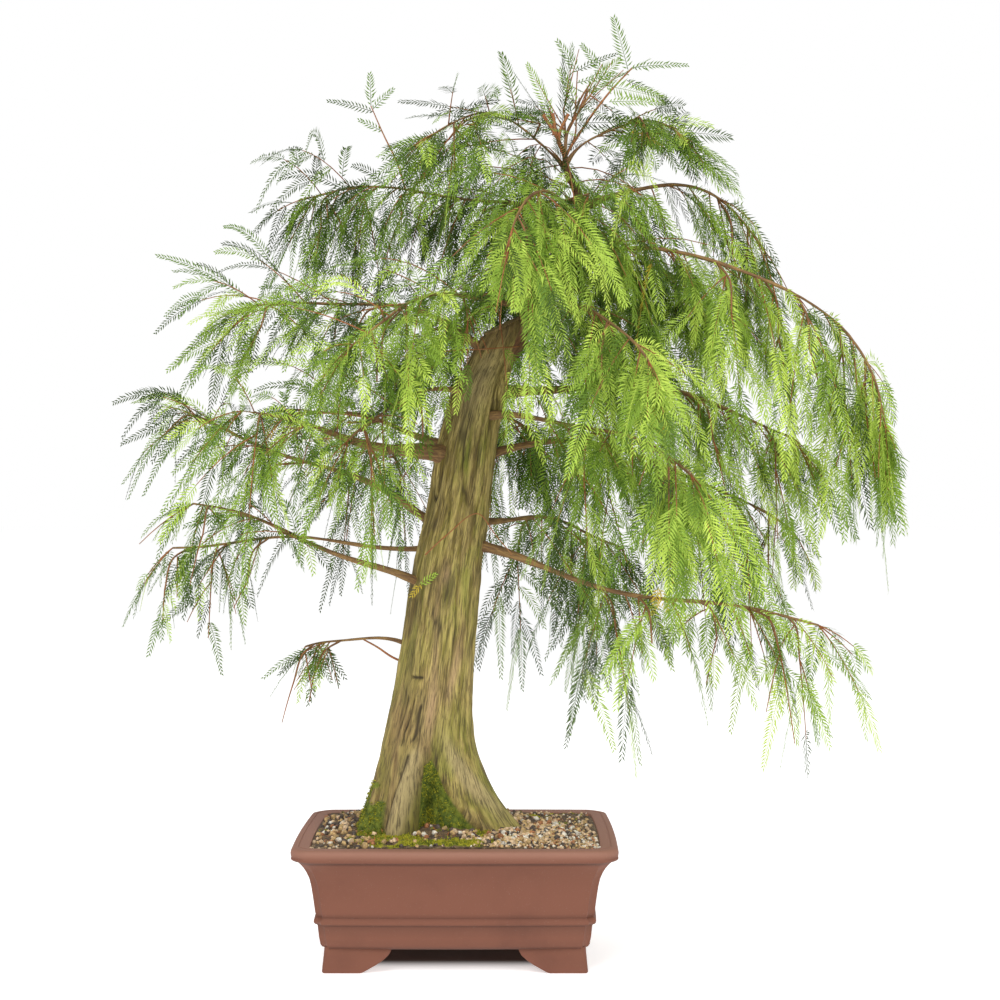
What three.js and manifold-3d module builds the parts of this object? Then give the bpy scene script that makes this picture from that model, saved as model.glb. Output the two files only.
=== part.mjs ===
// A bald cypress grown as a bonsai, in a rectangular clay pot on four feet.
// The flared trunk was cut off at an angle and carries one live leader. Boughs leave both,
// and each bough ends in a mass of weeping twigs and feathery sprays of needles.
// Millimetres, +X to the right, +Y away from the viewer, +Z up. Bearings turn from +X to +Y.
import * as THREE from 'three';
import Module from 'manifold-3d';
import { mergeVertices } from 'three/addons/utils/BufferGeometryUtils.js';

const wasm = await Module();
wasm.setup();

const { Vector3, MathUtils } = THREE;
const { degToRad, lerp } = MathUtils;

// Clay pot
const POT_LENGTH = 366;
const POT_DEPTH = 274;
const POT_HEIGHT = 142;
const RIM_WIDTH = 20;
const RIM_CORNER = 16;
const BODY_CORNER = -6; // a scooped corner instead of a round one
const SIDE_BOW = 3;
const FLOOR_UNDERSIDE = 27;
const FLOOR_THICKNESS = 10;
const CORNER_POINTS = 3;
const DRAIN_RADIUS = 12;
const DRAIN_SPACING = 150;
const DRAIN_SIDES = 12;

// Feet: they follow the outside of the pot and curve in under it
const FOOT_LENGTH = 75;
const FOOT_DEPTH = 54;
const FOOT_SOLE = 0.58; // share of the length left at the sole
const FOOT_FLARE = 2.5;
const FOOT_CHAMFER = 5;
const FOOT_INSET = 3.5;
const FOOT_SOFTNESS = 1; // how far the edge of the sole is rounded in
const FOOT_LEVELS = [0, 2, 10, 19, 29];

// Soil: level at the wall, mounded round the trunk, and highest behind it on the left.
// A heap has a height, a middle and a spread.
const SOIL_AT_WALL = 139;
const MOUND = { rise: 12, x: 0, y: 0, spread: 75 };
const BANK = { rise: 20, x: -75, y: 40, spread: 38 };
const SOIL_RINGS = [1, 0.75, 0.5, 0.25]; // shares of the way from the middle to the wall
const SOIL_CORNER = 10;
const GAP = 0.3; // between neighbouring pieces

// Trunk: height, centre across, centre in depth, width of the wood between the root ridges
const TRUNK = [
  [138, -38, 2, 106],
  [196, -37, 1, 101],
  [246, -35, 0, 94],
  [321, -26, -1, 87],
  [389, -18, 0, 84],
  [455, -10, 3, 79],
  [505, 0, 6, 73],
  [556, 7, 7, 69],
  [606, 14, 8, 67],
  [657, 25, 9, 60],
  [696, 43, 10, 51],
  [741, 60, 12, 42],
];
const TRUNK_SIDES = 24;
const TRUNK_FLATNESS = 0.92; // depth of the trunk over its width
const TRUNK_LEVELS = [0, 20, 42, 68, 100, 140, 190, 255, 330, 400, 465, 520, 556]; // above its foot
const FLUTES = 5;
const FLUTE_DEPTH = 0.025; // share of the radius
const FLUTE_TWIST = 90; // height in which the flutes turn by one radian
const ROOT_FALL = 1.25; // how sharply a root ridge sinks into the trunk

// Root ridges and the cleft between them: bearing, reach at the ground, half spread, rise
const ROOT_RIDGES = [
  [350, 64, 20, 60],
  [314, 22, 16, 62],
  [250, 27, 13, 112],
  [198, 29, 22, 68],
  [132, 30, 24, 50],
  [62, 34, 22, 50],
  [280, -26, 14, 88],
];

// The old cut across the trunk: its middle, and how far it drops for each mm across and forward
const CUT_CENTRE = [48, 10, 726];
const CUT_SLOPE_ACROSS = 0.52;
const CUT_SLOPE_BACK = 0.23;

// The live leader that goes on from the cut: across, depth, height, girth
const LEADER = [
  [46, 14, 686, 30],
  [79, 17, 728, 22],
  [104, 20, 764, 19],
  [121, 22, 795, 17],
  [140, 24, 832, 15],
  [147, 22, 857, 13],
  [141, 20, 886, 11],
  [128, 17, 914, 9],
  [126, 16, 931, 7],
];
const LEADER_SIDES = 8;
const LEADER_INSIDE = 8; // depth of the leader's wood round a bough's start

// Limbs
const LIMB_STEPS = 11;
const BOUGH_SIDES = 5;
const KINK = 7; // degrees that a limb wanders as it grows
const KINK_RISE = { start: 2.1, waves: 9 }; // where each limb starts in its wave, and its pace
const KINK_BEARING = { start: 1.3, waves: 7 };
const COLLAR = 0.4; // swelling where a bough leaves the wood
const COLLAR_LENGTH = 18;
const TIP_GAP = 3 * GAP; // between the leader's tip and the mass on it
const STEM_START_GIRTH = 0.5; // girth left where the foliage begins
const STEM_TIP_GIRTH = 2.4;

// Twigs: angles in degrees. A pair of values is the least of a random range and its width.
const TWIG_SIDES = 3;
const TWIG_SPACING = 55;
const FEWEST_TWIGS = 3;
const TWIG_STEPS = 2;
const TWIG_RADII = [1.4, 1.17, 0.93];
const TWIG_STATION = [0.4, 0.3]; // where it leaves its stretch of the stem
const TWIG_LENGTH = 58;
const TWIG_LENGTH_BY_WEEP = 46;
const TWIG_LENGTH_RANGE = [0.8, 0.4];
const TWIG_SHORTENING = 0.35; // share of its length lost towards the stem's tip
const TWIG_TURN = [52, 24];
const TWIG_LIFT = 14;
const TWIG_FALL = 30;
const TWIG_FALL_BY_WEEP = 80;
const STEEPEST = -85;
const LAST_STATION = 0.98; // share of the stem

// Sprays of needles
const SPRAY_LENGTH = 140;
const SPRAY_WIDTH = 38;
const SPRAY_THICKNESS = 2.2;
const SPRAY_ROOT = 1.4;
const CREST_AT = 0.06; // share of the length
const SPRAY_TEETH = 2;
const TOOTH_START = 0.36; // shares of the length
const TOOTH_STEP = 0.32;
const TOOTH_ROUNDNESS = 0.6;
const NOTCH_BACK = 0.03;
const NOTCH_DEPTH = 0.34;
const SPRAY_SIZE_RANGE = [0.85, 0.3];
const SPRAY_SHRINK = 0.07; // lost at each try
const SPRAY_SPREAD = 25; // random range of its turn, and what each try adds
const SPRAY_SPREAD_STEP = 12;
const SPRAY_ROLL = 150;
const HANG_RANGE = [0.6, 0.9];
const HANG_LIFT = 0.1;
const CROWN_MIDDLE = { x: 30, y: 10 };
const FACE_UP = [60, 50]; // how far up a spray faces, against how far out it is
const TIP_TURN = -8; // turns of the sprays on a twig, and on the stem itself
const SIDE_TURN = 46;
const SIDE_AT = 0.3;
const STEM_TURN = -50;
const CLEAR_FROM = 0.55; // share of a spray's length past which it keeps away from the others
const CLEAR_WIDTH = 0.6; // share of a spray's width
const TRIES = 9;

// The space of a mass
const SPACE_MARGIN = 1.6;
const SPACE_SQUASH = 0.45; // how little height counts in telling which mass is nearest
const CORE_DROP = 40;
const LIMB_MARGIN = 1.2;
const LOWEST_FOLIAGE = 178;

// Even random numbers: the multiplier, the prime they run in, and the seed of each mass
const RANDOM_FACTOR = 16807;
const RANDOM_PRIME = 2147483647;
const FIRST_SEED = 101;
const SEED_STEP = 37;

// Each limb: name, height it leaves the wood at, bearing, rise, fall along it, sweep,
// bare length from the middle of the wood, whole reach, girth at its foot,
// weep of its foliage, size of its sprays
const LIMBS = [
  ['left_spur', 336, 186, 34, 56, 0, 112, 160, 5, 0.5, 0.5],
  ['left_lower', 412, 197, 27, 12, -4, 170, 312, 9, 0.75, 0.8],
  ['left_slender', 469, 176, 6, 10, 4, 200, 330, 6, 0.8, 0.7],
  ['left_middle', 482, 160, 27, 10, 4, 185, 370, 10, 0.75, 0.85],
  ['left_heavy', 572, 210, 8, -6, -4, 120, 280, 20, 0.7, 0.85],
  ['left_upper', 584, 146, 20, 14, 0, 100, 260, 11, 0.7, 1],
  ['left_high', 692, 184, 36, 50, -6, 110, 290, 10, 0.65, 1],
  ['crown_left', 852, 174, 22, 30, 0, 66, 325, 8, 1, 1],
  ['apex_left', 911, 204, 58, 96, 10, 34, 200, 5, 0.35, 0.85],
  ['apex', 931, 20, 84, 40, 0, 0, 80, 7, 0.05, 0.85],
  ['apex_right', 918, 348, 60, 90, 0, 34, 150, 5, 0.3, 0.75],
  ['crown_right', 868, 4, 36, 94, 4, 76, 255, 8, 0.95, 1],
  ['right_high', 803, 30, 6, 26, -6, 76, 240, 7, 0.85, 1],
  ['right_shoulder', 790, 344, 26, 102, 4, 120, 480, 9, 0.9, 0.9],
  ['right_heavy', 650, 5, 12, 38, -2, 145, 390, 14, 0.85, 1],
  ['right_middle', 571, 14, 14, 54, -8, 150, 430, 10, 0.85, 0.95],
  ['right_low', 479, 346, -16, -8, 4, 150, 435, 12, 0.8, 0.85],
  ['front_left_high', 748, 218, 18, 58, 0, 84, 275, 9, 0.75, 1],
  ['front_right_high', 736, 302, 16, 66, 6, 66, 245, 8, 0.8, 1],
  ['front_right_middle', 618, 322, 8, 40, 4, 92, 310, 10, 0.85, 0.9],
  ['front_crown', 842, 246, 36, 84, 0, 50, 220, 7, 0.75, 1],
  ['front_left_middle', 646, 226, 8, 50, 0, 76, 215, 8, 0.8, 0.8],
  ['back_left_low', 580, 122, 12, 30, 0, 105, 270, 10, 0.65, 0.85],
  ['back_right_low', 500, 46, 8, 28, 0, 112, 300, 10, 0.8, 0.9],
  ['back_middle', 620, 74, 16, 38, 0, 95, 262, 11, 0.85, 1],
  ['back_right_high', 771, 58, 16, 44, 0, 72, 268, 9, 0.8, 1],
  ['back_left_high', 696, 112, 24, 40, 0, 80, 268, 10, 0.7, 1],
  ['back_crown', 856, 104, 34, 76, 0, 54, 235, 7, 0.7, 1],
];

const FINISHES = {
  pot: { color: 0x8d5c48, roughness: 0.8, metalness: 0 },
  soil: { color: 0x6b5a42, roughness: 0.95, metalness: 0 },
  bark: { color: 0x83754a, roughness: 0.9, metalness: 0 },
  foliage: { color: 0x6fa544, roughness: 0.6, metalness: 0 },
};

// Solids

function solidOf(geometry) {
  geometry.deleteAttribute('normal');
  geometry.deleteAttribute('uv');
  const merged = mergeVertices(geometry);
  return new wasm.Manifold(new wasm.Mesh({
    numProp: 3,
    vertProperties: merged.attributes.position.array,
    triVerts: new Uint32Array(merged.index.array),
  }));
}

function geometryOf(solid) {
  const { vertProperties, triVerts } = solid.getMesh();
  const geometry = new THREE.BufferGeometry();
  geometry.setAttribute('position', new THREE.BufferAttribute(vertProperties, 3));
  geometry.setIndex(new THREE.BufferAttribute(triVerts, 1));
  geometry.computeVertexNormals();
  return geometry;
}

function joined(solids) {
  return solids.reduce((whole, solid) => whole.add(solid));
}

// The largest of the bodies that a cut leaves
function largestBody(solid) {
  return solid.decompose().reduce((best, body) => (body.volume() > best.volume() ? body : best));
}

function closedGeometry(points, faces) {
  const geometry = new THREE.BufferGeometry();
  const values = points.flatMap((p) => [p.x, p.y, p.z]);
  geometry.setAttribute('position', new THREE.Float32BufferAttribute(values, 3));
  geometry.setIndex(faces);
  return geometry;
}

// Closed body through loops of equal count, with a fan over the first and the last loop
function loft(loops) {
  const count = loops[0].length;
  const points = loops.flat();
  const faces = [];
  for (let row = 0; row + 1 < loops.length; row++) {
    for (let i = 0; i < count; i++) {
      const a = row * count + i;
      const b = row * count + ((i + 1) % count);
      faces.push(a, b, b + count, a, b + count, a + count);
    }
  }
  const last = points.length - count;
  for (let i = 1; i + 1 < count; i++) {
    faces.push(0, i + 1, i);
    faces.push(last, last + i, last + i + 1);
  }
  return closedGeometry(points, faces);
}

// Value at a height from a table whose first column is the height
function readTable(table, height) {
  let row = 1;
  while (row < table.length - 1 && table[row][0] < height) row++;
  const [low, high] = [table[row - 1], table[row]];
  const share = MathUtils.clamp((height - low[0]) / (high[0] - low[0]), 0, 1);
  return low.map((value, column) => lerp(value, high[column], share));
}

// Pot

// Rectangle with bowed sides and round corners, or scooped ones where the radius is negative
function potLoop(halfLength, halfDepth, corner, height) {
  const loop = [];
  const size = Math.abs(corner);
  const inset = SIDE_BOW + Math.max(corner, 0);
  const signs = [[1, 1], [-1, 1], [-1, -1], [1, -1]];
  signs.forEach(([sx, sy], quarter) => {
    const centreX = sx * (halfLength - inset);
    const centreY = sy * (halfDepth - inset);
    for (let i = 0; i < CORNER_POINTS; i++) {
      const turn = (90 * i) / (CORNER_POINTS - 1);
      const angle = degToRad(quarter * 90 + (corner > 0 ? turn : 270 - turn));
      loop.push(new Vector3(centreX + size * Math.cos(angle), centreY + size * Math.sin(angle), height));
    }
    // The middle of the next side, which stands furthest out
    const alongLength = quarter % 2 === 0;
    const x = alongLength ? 0 : sx * halfLength;
    const y = alongLength ? sy * halfDepth : 0;
    loop.push(new Vector3(x, y, height));
  });
  return loop;
}

// Outside of the pot from the underside up: height, inset from the rim, corner radius
const POT_OUTSIDE = [
  [FLOOR_UNDERSIDE, 32.5, BODY_CORNER],
  [30, 30.5, BODY_CORNER],
  [36, 29, BODY_CORNER],
  [54, 27.5, BODY_CORNER],
  [55.5, 24.5, BODY_CORNER],
  [61, 24, BODY_CORNER],
  [63, 26, BODY_CORNER],
  [100, 21, BODY_CORNER],
  [113, 17, BODY_CORNER],
  [121, 12, -4],
  [125.5, 8, 4],
  [127.5, 2.5, RIM_CORNER],
  [129.5, 0, RIM_CORNER],
  [139, 0, RIM_CORNER],
  [POT_HEIGHT, 2.5, RIM_CORNER],
];
// Inside of the pot from the rim down, in the same way
const POT_INSIDE = [
  [POT_HEIGHT, RIM_WIDTH, 10],
  [126, RIM_WIDTH + 3, 10],
  [111, 36, 8],
  [FLOOR_UNDERSIDE + FLOOR_THICKNESS, 42, 8],
];

function potLoopAt([height, inset, corner]) {
  return potLoop(POT_LENGTH / 2 - inset, POT_DEPTH / 2 - inset, corner, height);
}

function foot(sx, sy) {
  const outerInset = POT_OUTSIDE[0][1] + FOOT_INSET;
  const loops = FOOT_LEVELS.map((height) => {
    const share = Math.min(height / FLOOR_UNDERSIDE, 1);
    const grown = lerp(FOOT_SOLE, 1, Math.sin(share * Math.PI / 2));
    const soft = height === 0 ? FOOT_SOFTNESS : 0;
    const flare = FOOT_FLARE * (1 - share) - soft;
    const x = POT_LENGTH / 2 - outerInset + flare;
    const y = POT_DEPTH / 2 - outerInset + flare;
    const inX = x - FOOT_LENGTH * grown + soft;
    const inY = y - FOOT_DEPTH * grown + soft;
    const corners = [
      [inX, inY],
      [x, inY],
      [x, y - FOOT_CHAMFER],
      [x - FOOT_CHAMFER, y],
      [inX, y],
    ];
    const loop = corners.map(([cx, cy]) => new Vector3(sx * cx, sy * cy, height));
    return sx * sy > 0 ? loop : loop.reverse();
  });
  return solidOf(loft(loops));
}

function drain(side) {
  const length = 3 * FLOOR_THICKNESS;
  const hole = new THREE.CylinderGeometry(DRAIN_RADIUS, DRAIN_RADIUS, length, DRAIN_SIDES);
  hole.rotateX(Math.PI / 2);
  hole.translate((side * DRAIN_SPACING) / 2, 0, FLOOR_UNDERSIDE + FLOOR_THICKNESS / 2);
  return solidOf(hole);
}

function potSolid() {
  const shell = solidOf(loft([...POT_OUTSIDE, ...POT_INSIDE].map(potLoopAt)));
  const feet = [[1, 1], [-1, 1], [-1, -1], [1, -1]].map(([sx, sy]) => foot(sx, sy));
  return joined([shell, ...feet]).subtract(drain(-1)).subtract(drain(1));
}

// Soil

function heap(x, y, { rise, x: middleX, y: middleY, spread }) {
  const squared = (x - middleX) ** 2 + (y - middleY) ** 2;
  return rise * Math.exp(-squared / (2 * spread ** 2));
}

function soilHeight(x, y) {
  return SOIL_AT_WALL + heap(x, y, MOUND) + heap(x, y, BANK);
}

function soilSolid() {
  const walls = POT_INSIDE.slice(1).reverse();
  const sides = walls.map(([height, inset, corner], i) => (
    potLoopAt([height + (i === 0 ? GAP : 0), inset + GAP, corner])
  ));
  const edge = potLoopAt([SOIL_AT_WALL, RIM_WIDTH + 3 * GAP, SOIL_CORNER]);
  const rings = SOIL_RINGS.map((share) => edge.map((p) => {
    const [x, y] = [p.x * share, p.y * share];
    return new Vector3(x, y, share === 1 ? SOIL_AT_WALL : soilHeight(x, y));
  }));
  return solidOf(loft([...sides, ...rings]));
}

// Trunk

function angleBetween(a, b) {
  return Math.abs(MathUtils.euclideanModulo(a - b + 180, 360) - 180);
}

// Radius of the trunk at a bearing and a height, with its root ridges and shallow flutes
function trunkRadius(bearing, height, width) {
  const above = height - TRUNK[0][0];
  const flute = Math.sin(degToRad(FLUTES * bearing) + height / FLUTE_TWIST);
  let radius = (width / 2) * (1 + FLUTE_DEPTH * flute);
  for (const [at, reach, spread, rise] of ROOT_RIDGES) {
    const around = Math.exp(-((angleBetween(bearing, at) / spread) ** 2) / 2);
    radius += reach * around * Math.exp(-((above / rise) ** ROOT_FALL));
  }
  return radius;
}

function trunkLoop(height, swell) {
  const [, x, y, width] = readTable(TRUNK, height);
  const loop = [];
  for (let i = 0; i < TRUNK_SIDES; i++) {
    const bearing = (i * 360) / TRUNK_SIDES;
    const radius = trunkRadius(bearing, height, width) + swell;
    const angle = degToRad(bearing);
    loop.push(new Vector3(
      x + radius * Math.cos(angle),
      y + radius * Math.sin(angle) * TRUNK_FLATNESS,
      height,
    ));
  }
  return loop;
}

// The trunk from its flat foot to the slanted cut, with the leader joined on
function trunkSolid(swell) {
  const ground = TRUNK[0][0];
  const loops = TRUNK_LEVELS.map((level) => trunkLoop(ground + level, swell));
  loops[0].forEach((p) => { p.z -= swell; });
  const [cutX, cutY, cutZ] = CUT_CENTRE;
  const cut = trunkLoop(cutZ, swell).map((p) => {
    p.z = cutZ + swell + CUT_SLOPE_ACROSS * (p.x - cutX) + CUT_SLOPE_BACK * (p.y - cutY);
    return p;
  });
  const wood = solidOf(loft([...loops, cut]));
  const route = LEADER.map(([x, y, z]) => new Vector3(x, y, z));
  const leader = tube(route, LEADER.map(([, , , girth]) => girth / 2 + swell), LEADER_SIDES);
  return wood.add(solidOf(leader));
}

// Limbs

function heading(bearing, pitch) {
  const [b, p] = [degToRad(bearing), degToRad(pitch)];
  return new Vector3(Math.cos(p) * Math.cos(b), Math.cos(p) * Math.sin(b), Math.sin(p));
}

// Tube through a route with a radius at each point, closed at both ends
function tube(route, radii, sides) {
  const loops = [];
  let side = new Vector3(0, 0, 1);
  route.forEach((point, i) => {
    const ahead = route[Math.min(i + 1, route.length - 1)];
    const behind = route[Math.max(i - 1, 0)];
    const along = ahead.clone().sub(behind).normalize();
    if (i === 0 && Math.abs(along.z) > 0.9) side = new Vector3(1, 0, 0);
    side = side.clone().addScaledVector(along, -side.dot(along)).normalize();
    const other = along.clone().cross(side);
    const loop = [];
    for (let k = 0; k < sides; k++) {
      const angle = (2 * Math.PI * k) / sides;
      const offset = side.clone().multiplyScalar(Math.cos(angle)).addScaledVector(other, Math.sin(angle));
      loop.push(point.clone().addScaledVector(offset, radii[i]));
    }
    loops.push(loop);
  });
  return loft(loops);
}

// The stretch of a route between two distances from its start
function stretch(route, from, to) {
  const part = [];
  let gone = 0;
  for (let i = 1; i < route.length; i++) {
    const step = route[i].distanceTo(route[i - 1]);
    if (gone + step > from && part.length === 0) {
      part.push(route[i - 1].clone().lerp(route[i], (from - gone) / step));
    }
    if (gone + step >= to) {
      part.push(route[i - 1].clone().lerp(route[i], (to - gone) / step));
      return part;
    }
    if (part.length > 0) part.push(route[i].clone());
    gone += step;
  }
  return part;
}

// Middle of the wood at a height: on the leader above the cut, else on the trunk
function woodAt(height) {
  const onLeader = height > LEADER[1][2];
  if (!onLeader) {
    const [, x, y] = readTable(TRUNK, height);
    return new Vector3(x, y, height);
  }
  const [, x, y] = readTable(LEADER.map(([lx, ly, lz]) => [lz, lx, ly]), height);
  return new Vector3(x, y, height);
}

function kink({ start, waves }, index, share) {
  return KINK * Math.sin(index * start + waves * share);
}

function limbRoute(limb, index) {
  const route = [woodAt(limb.height)];
  const step = limb.reach / LIMB_STEPS;
  for (let i = 0; i < LIMB_STEPS; i++) {
    const share = (i + 0.5) / LIMB_STEPS;
    const pitch = limb.rise - limb.fall * share + kink(KINK_RISE, index, share);
    const bearing = limb.bearing + limb.sweep * share + kink(KINK_BEARING, index, share);
    route.push(route[i].clone().addScaledVector(heading(bearing, pitch), step));
  }
  return route;
}

function readLimbs() {
  return LIMBS.map(([
    name, height, bearing, rise, fall, sweep, bare, reach, girth, weep, sprayScale,
  ], index) => {
    const limb = { name, height, bearing, rise, fall, sweep, bare, reach, girth, weep, sprayScale };
    limb.route = limbRoute(limb, index);
    limb.bough = bare > 0 ? stretch(limb.route, 0, bare) : [];
    limb.stem = stretch(limb.route, bare > 0 ? bare + GAP : TIP_GAP, reach);
    limb.core = limb.stem.map((p) => squash(new Vector3(p.x, p.y, p.z - CORE_DROP * weep)));
    limb.seed = FIRST_SEED + SEED_STEP * index;
    return limb;
  });
}

function boughRadii(limb) {
  let gone = 0;
  return limb.bough.map((point, i) => {
    if (i > 0) gone += point.distanceTo(limb.bough[i - 1]);
    const collar = 1 + COLLAR * Math.exp(-Math.max(gone - limb.inWood, 0) / COLLAR_LENGTH);
    return (limb.girth / 2) * lerp(1, STEM_START_GIRTH, gone / limb.bare) * collar;
  });
}

function stemRadii(limb) {
  const start = Math.max(limb.girth * STEM_START_GIRTH, STEM_TIP_GIRTH) / 2;
  return limb.stem.map((_, i) => lerp(start, STEM_TIP_GIRTH / 2, i / (limb.stem.length - 1)));
}

// Foliage

// Even random numbers from 0 to 1, the same ones for the same seed
function randomFrom(seed) {
  let state = seed;
  return () => {
    state = (state * RANDOM_FACTOR) % RANDOM_PRIME;
    return state / RANDOM_PRIME;
  };
}

function within([least, range], random) {
  return least + range * random();
}

function distanceToSegment(point, a, b) {
  const ab = b.clone().sub(a);
  const share = MathUtils.clamp(point.clone().sub(a).dot(ab) / ab.lengthSq(), 0, 1);
  return { distance: point.distanceTo(a.clone().addScaledVector(ab, share)), share };
}

// Distance to the core of a mass, where a step up or down counts for less than one across
function distanceToCore(point, core) {
  const squashed = squash(point);
  let least = Infinity;
  for (let i = 1; i < core.length; i++) {
    least = Math.min(least, distanceToSegment(squashed, core[i - 1], core[i]).distance);
  }
  return least;
}

function squash(point) {
  return new Vector3(point.x, point.y, point.z * SPACE_SQUASH);
}

// How far a point is from the surface of a tapering limb
function clearOfLimb(point, { route, radii }) {
  let least = Infinity;
  for (let i = 1; i < route.length; i++) {
    const { distance, share } = distanceToSegment(point, route[i - 1], route[i]);
    least = Math.min(least, distance - lerp(radii[i - 1], radii[i], share));
  }
  return least;
}

// A mass keeps to the space that is nearer its own core than any other, clear of every limb
function isFree(point, limb, crown, margin) {
  if (point.z < LOWEST_FOLIAGE) return false;
  const own = distanceToCore(point, limb.core);
  const inOthers = crown.limbs.some((other) => (
    other !== limb && distanceToCore(point, other.core) < own + 2 * SPACE_MARGIN
  ));
  return !inOthers && crown.wood.every((wood) => clearOfLimb(point, wood) > LIMB_MARGIN + margin);
}

// Outline of a spray from its root to its tip and back, toothed like needles that lean forward
function sprayOutline(length, width) {
  const side = [];
  for (let tooth = 0; tooth < SPRAY_TEETH; tooth++) {
    const at = TOOTH_START + TOOTH_STEP * tooth;
    const half = (width / 2) * Math.sin(Math.PI * at) ** TOOTH_ROUNDNESS;
    side.push([at * length, half]);
    side.push([(at - NOTCH_BACK) * length, half * NOTCH_DEPTH]);
  }
  const right = side.map(([x, y]) => new THREE.Vector2(x, -y));
  const left = side.map(([x, y]) => new THREE.Vector2(x, y)).reverse();
  const root = SPRAY_ROOT / 2;
  return [
    new THREE.Vector2(0, root),
    new THREE.Vector2(0, -root),
    ...right,
    new THREE.Vector2(length, 0),
    ...left,
  ];
}

// Flat underneath, and raised to a low crest near its root on top
function sprayGeometry(length, width) {
  const outline = sprayOutline(length, width);
  const points = outline.map((p) => new Vector3(p.x, p.y, 0));
  const crest = points.push(new Vector3(CREST_AT * length, 0, SPRAY_THICKNESS)) - 1;
  const faces = outline.flatMap((_, i) => [i, (i + 1) % outline.length, crest]);
  THREE.ShapeUtils.triangulateShape(outline, []).forEach(([i, j, k]) => faces.push(i, k, j));
  return closedGeometry(points, faces);
}

function placeSpray(spray) {
  const side = new Vector3().crossVectors(spray.normal, spray.along);
  const place = new THREE.Matrix4().makeBasis(spray.along, side, spray.normal);
  place.setPosition(spray.root);
  return place;
}

function sprayFits(spray, limb, crown) {
  const place = placeSpray(spray);
  const outline = sprayOutline(spray.length, spray.width);
  return outline.slice(2).every((p) => (
    isFree(new Vector3(p.x, p.y, 0).applyMatrix4(place), limb, crown, SPRAY_THICKNESS / 2)
  ));
}

// A spray that leaves a twig: it leans off to one side and hangs by the weep of its mass
function growSpray(root, along, turn, limb, crown, sprays, random) {
  for (let attempt = 0; attempt < TRIES; attempt++) {
    const flat = new Vector3(along.x, along.y, 0).normalize();
    const across = new Vector3(-flat.y, flat.x, 0);
    const spread = SPRAY_SPREAD + SPRAY_SPREAD_STEP * attempt;
    const lean = degToRad(turn + spread * (random() - 0.5));
    const out = along.clone().multiplyScalar(Math.cos(lean)).addScaledVector(across, Math.sin(lean));
    const hang = limb.weep * within(HANG_RANGE, random) - HANG_LIFT;
    const direction = out.addScaledVector(new Vector3(0, 0, -1), hang).normalize();
    const outward = [root.x - CROWN_MIDDLE.x, root.y - CROWN_MIDDLE.y];
    const face = new Vector3(...outward, within(FACE_UP, random)).normalize();
    const normal = face.addScaledVector(direction, -face.dot(direction)).normalize();
    normal.applyAxisAngle(direction, degToRad(SPRAY_ROLL) * (random() - 0.5));
    const size = limb.sprayScale * (1 - SPRAY_SHRINK * attempt) * within(SPRAY_SIZE_RANGE, random);
    const spray = {
      root,
      along: direction,
      normal,
      length: SPRAY_LENGTH * size,
      width: SPRAY_WIDTH * size,
    };
    if (clearOfSprays(spray, sprays) && sprayFits(spray, limb, crown)) return spray;
  }
  return null;
}

// Sprays of one mass fan out: the outer half of each keeps away from the others
function clearOfSprays(spray, sprays) {
  const at = (one, share) => one.root.clone().addScaledVector(one.along, one.length * share);
  const [middle, tip] = [at(spray, CLEAR_FROM), at(spray, 1)];
  return sprays.every((other) => [middle, tip].every((point) => (
    distanceToSegment(point, other.root, at(other, 1)).distance > CLEAR_WIDTH * spray.width
  )));
}

// A twig that leaves the stem to one side, arches over and hangs
function growTwig(root, along, turn, length, limb, crown, random) {
  const bearing = MathUtils.radToDeg(Math.atan2(along.y, along.x)) + turn;
  const rise = MathUtils.radToDeg(Math.asin(along.z)) + TWIG_LIFT * random();
  const fall = TWIG_FALL + TWIG_FALL_BY_WEEP * limb.weep;
  const route = [root.clone()];
  for (let i = 0; i < TWIG_STEPS; i++) {
    const pitch = Math.max(rise - (fall * (i + 0.5)) / TWIG_STEPS, STEEPEST);
    const next = route[i].clone().addScaledVector(heading(bearing, pitch), length / TWIG_STEPS);
    if (!isFree(next, limb, crown, 2 * TWIG_RADII[0])) break;
    route.push(next);
  }
  return route.length > 1 ? route : null;
}

function endDirection(route) {
  return route[route.length - 1].clone().sub(route[route.length - 2]).normalize();
}

// Twigs and sprays of one mass, by the rule of its seed
function growMass(limb, crown) {
  const random = randomFrom(limb.seed);
  const twigs = [];
  const sprays = [];
  const addSpray = (root, along, turn) => {
    const spray = growSpray(root, along, turn, limb, crown, sprays, random);
    if (spray) sprays.push(spray);
  };
  const stemLength = limb.reach - limb.bare;
  const longest = TWIG_LENGTH + TWIG_LENGTH_BY_WEEP * limb.weep;
  const count = Math.max(FEWEST_TWIGS, Math.round(stemLength / TWIG_SPACING));
  for (let i = 0; i < count; i++) {
    const share = (i + within(TWIG_STATION, random)) / count;
    const ahead = stretch(limb.stem, share * stemLength * LAST_STATION, stemLength);
    const root = ahead[0];
    const along = ahead[1].clone().sub(root).normalize();
    const hand = i % 2 === 0 ? 1 : -1;
    const length = longest * (1 - TWIG_SHORTENING * share) * within(TWIG_LENGTH_RANGE, random);
    const turn = hand * within(TWIG_TURN, random);
    const twig = growTwig(root, along, turn, length, limb, crown, random);
    if (twig) {
      twigs.push(twig);
      addSpray(twig[twig.length - 1], endDirection(twig), TIP_TURN * hand);
      addSpray(twig[1].clone().lerp(twig[0], SIDE_AT), endDirection(twig), SIDE_TURN * hand);
    } else {
      addSpray(root, along, turn);
    }
    if (i % 2 === 1) addSpray(root, along, STEM_TURN * hand);
  }
  addSpray(limb.stem[limb.stem.length - 1], endDirection(limb.stem), 0);
  return { twigs, sprays };
}

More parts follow.
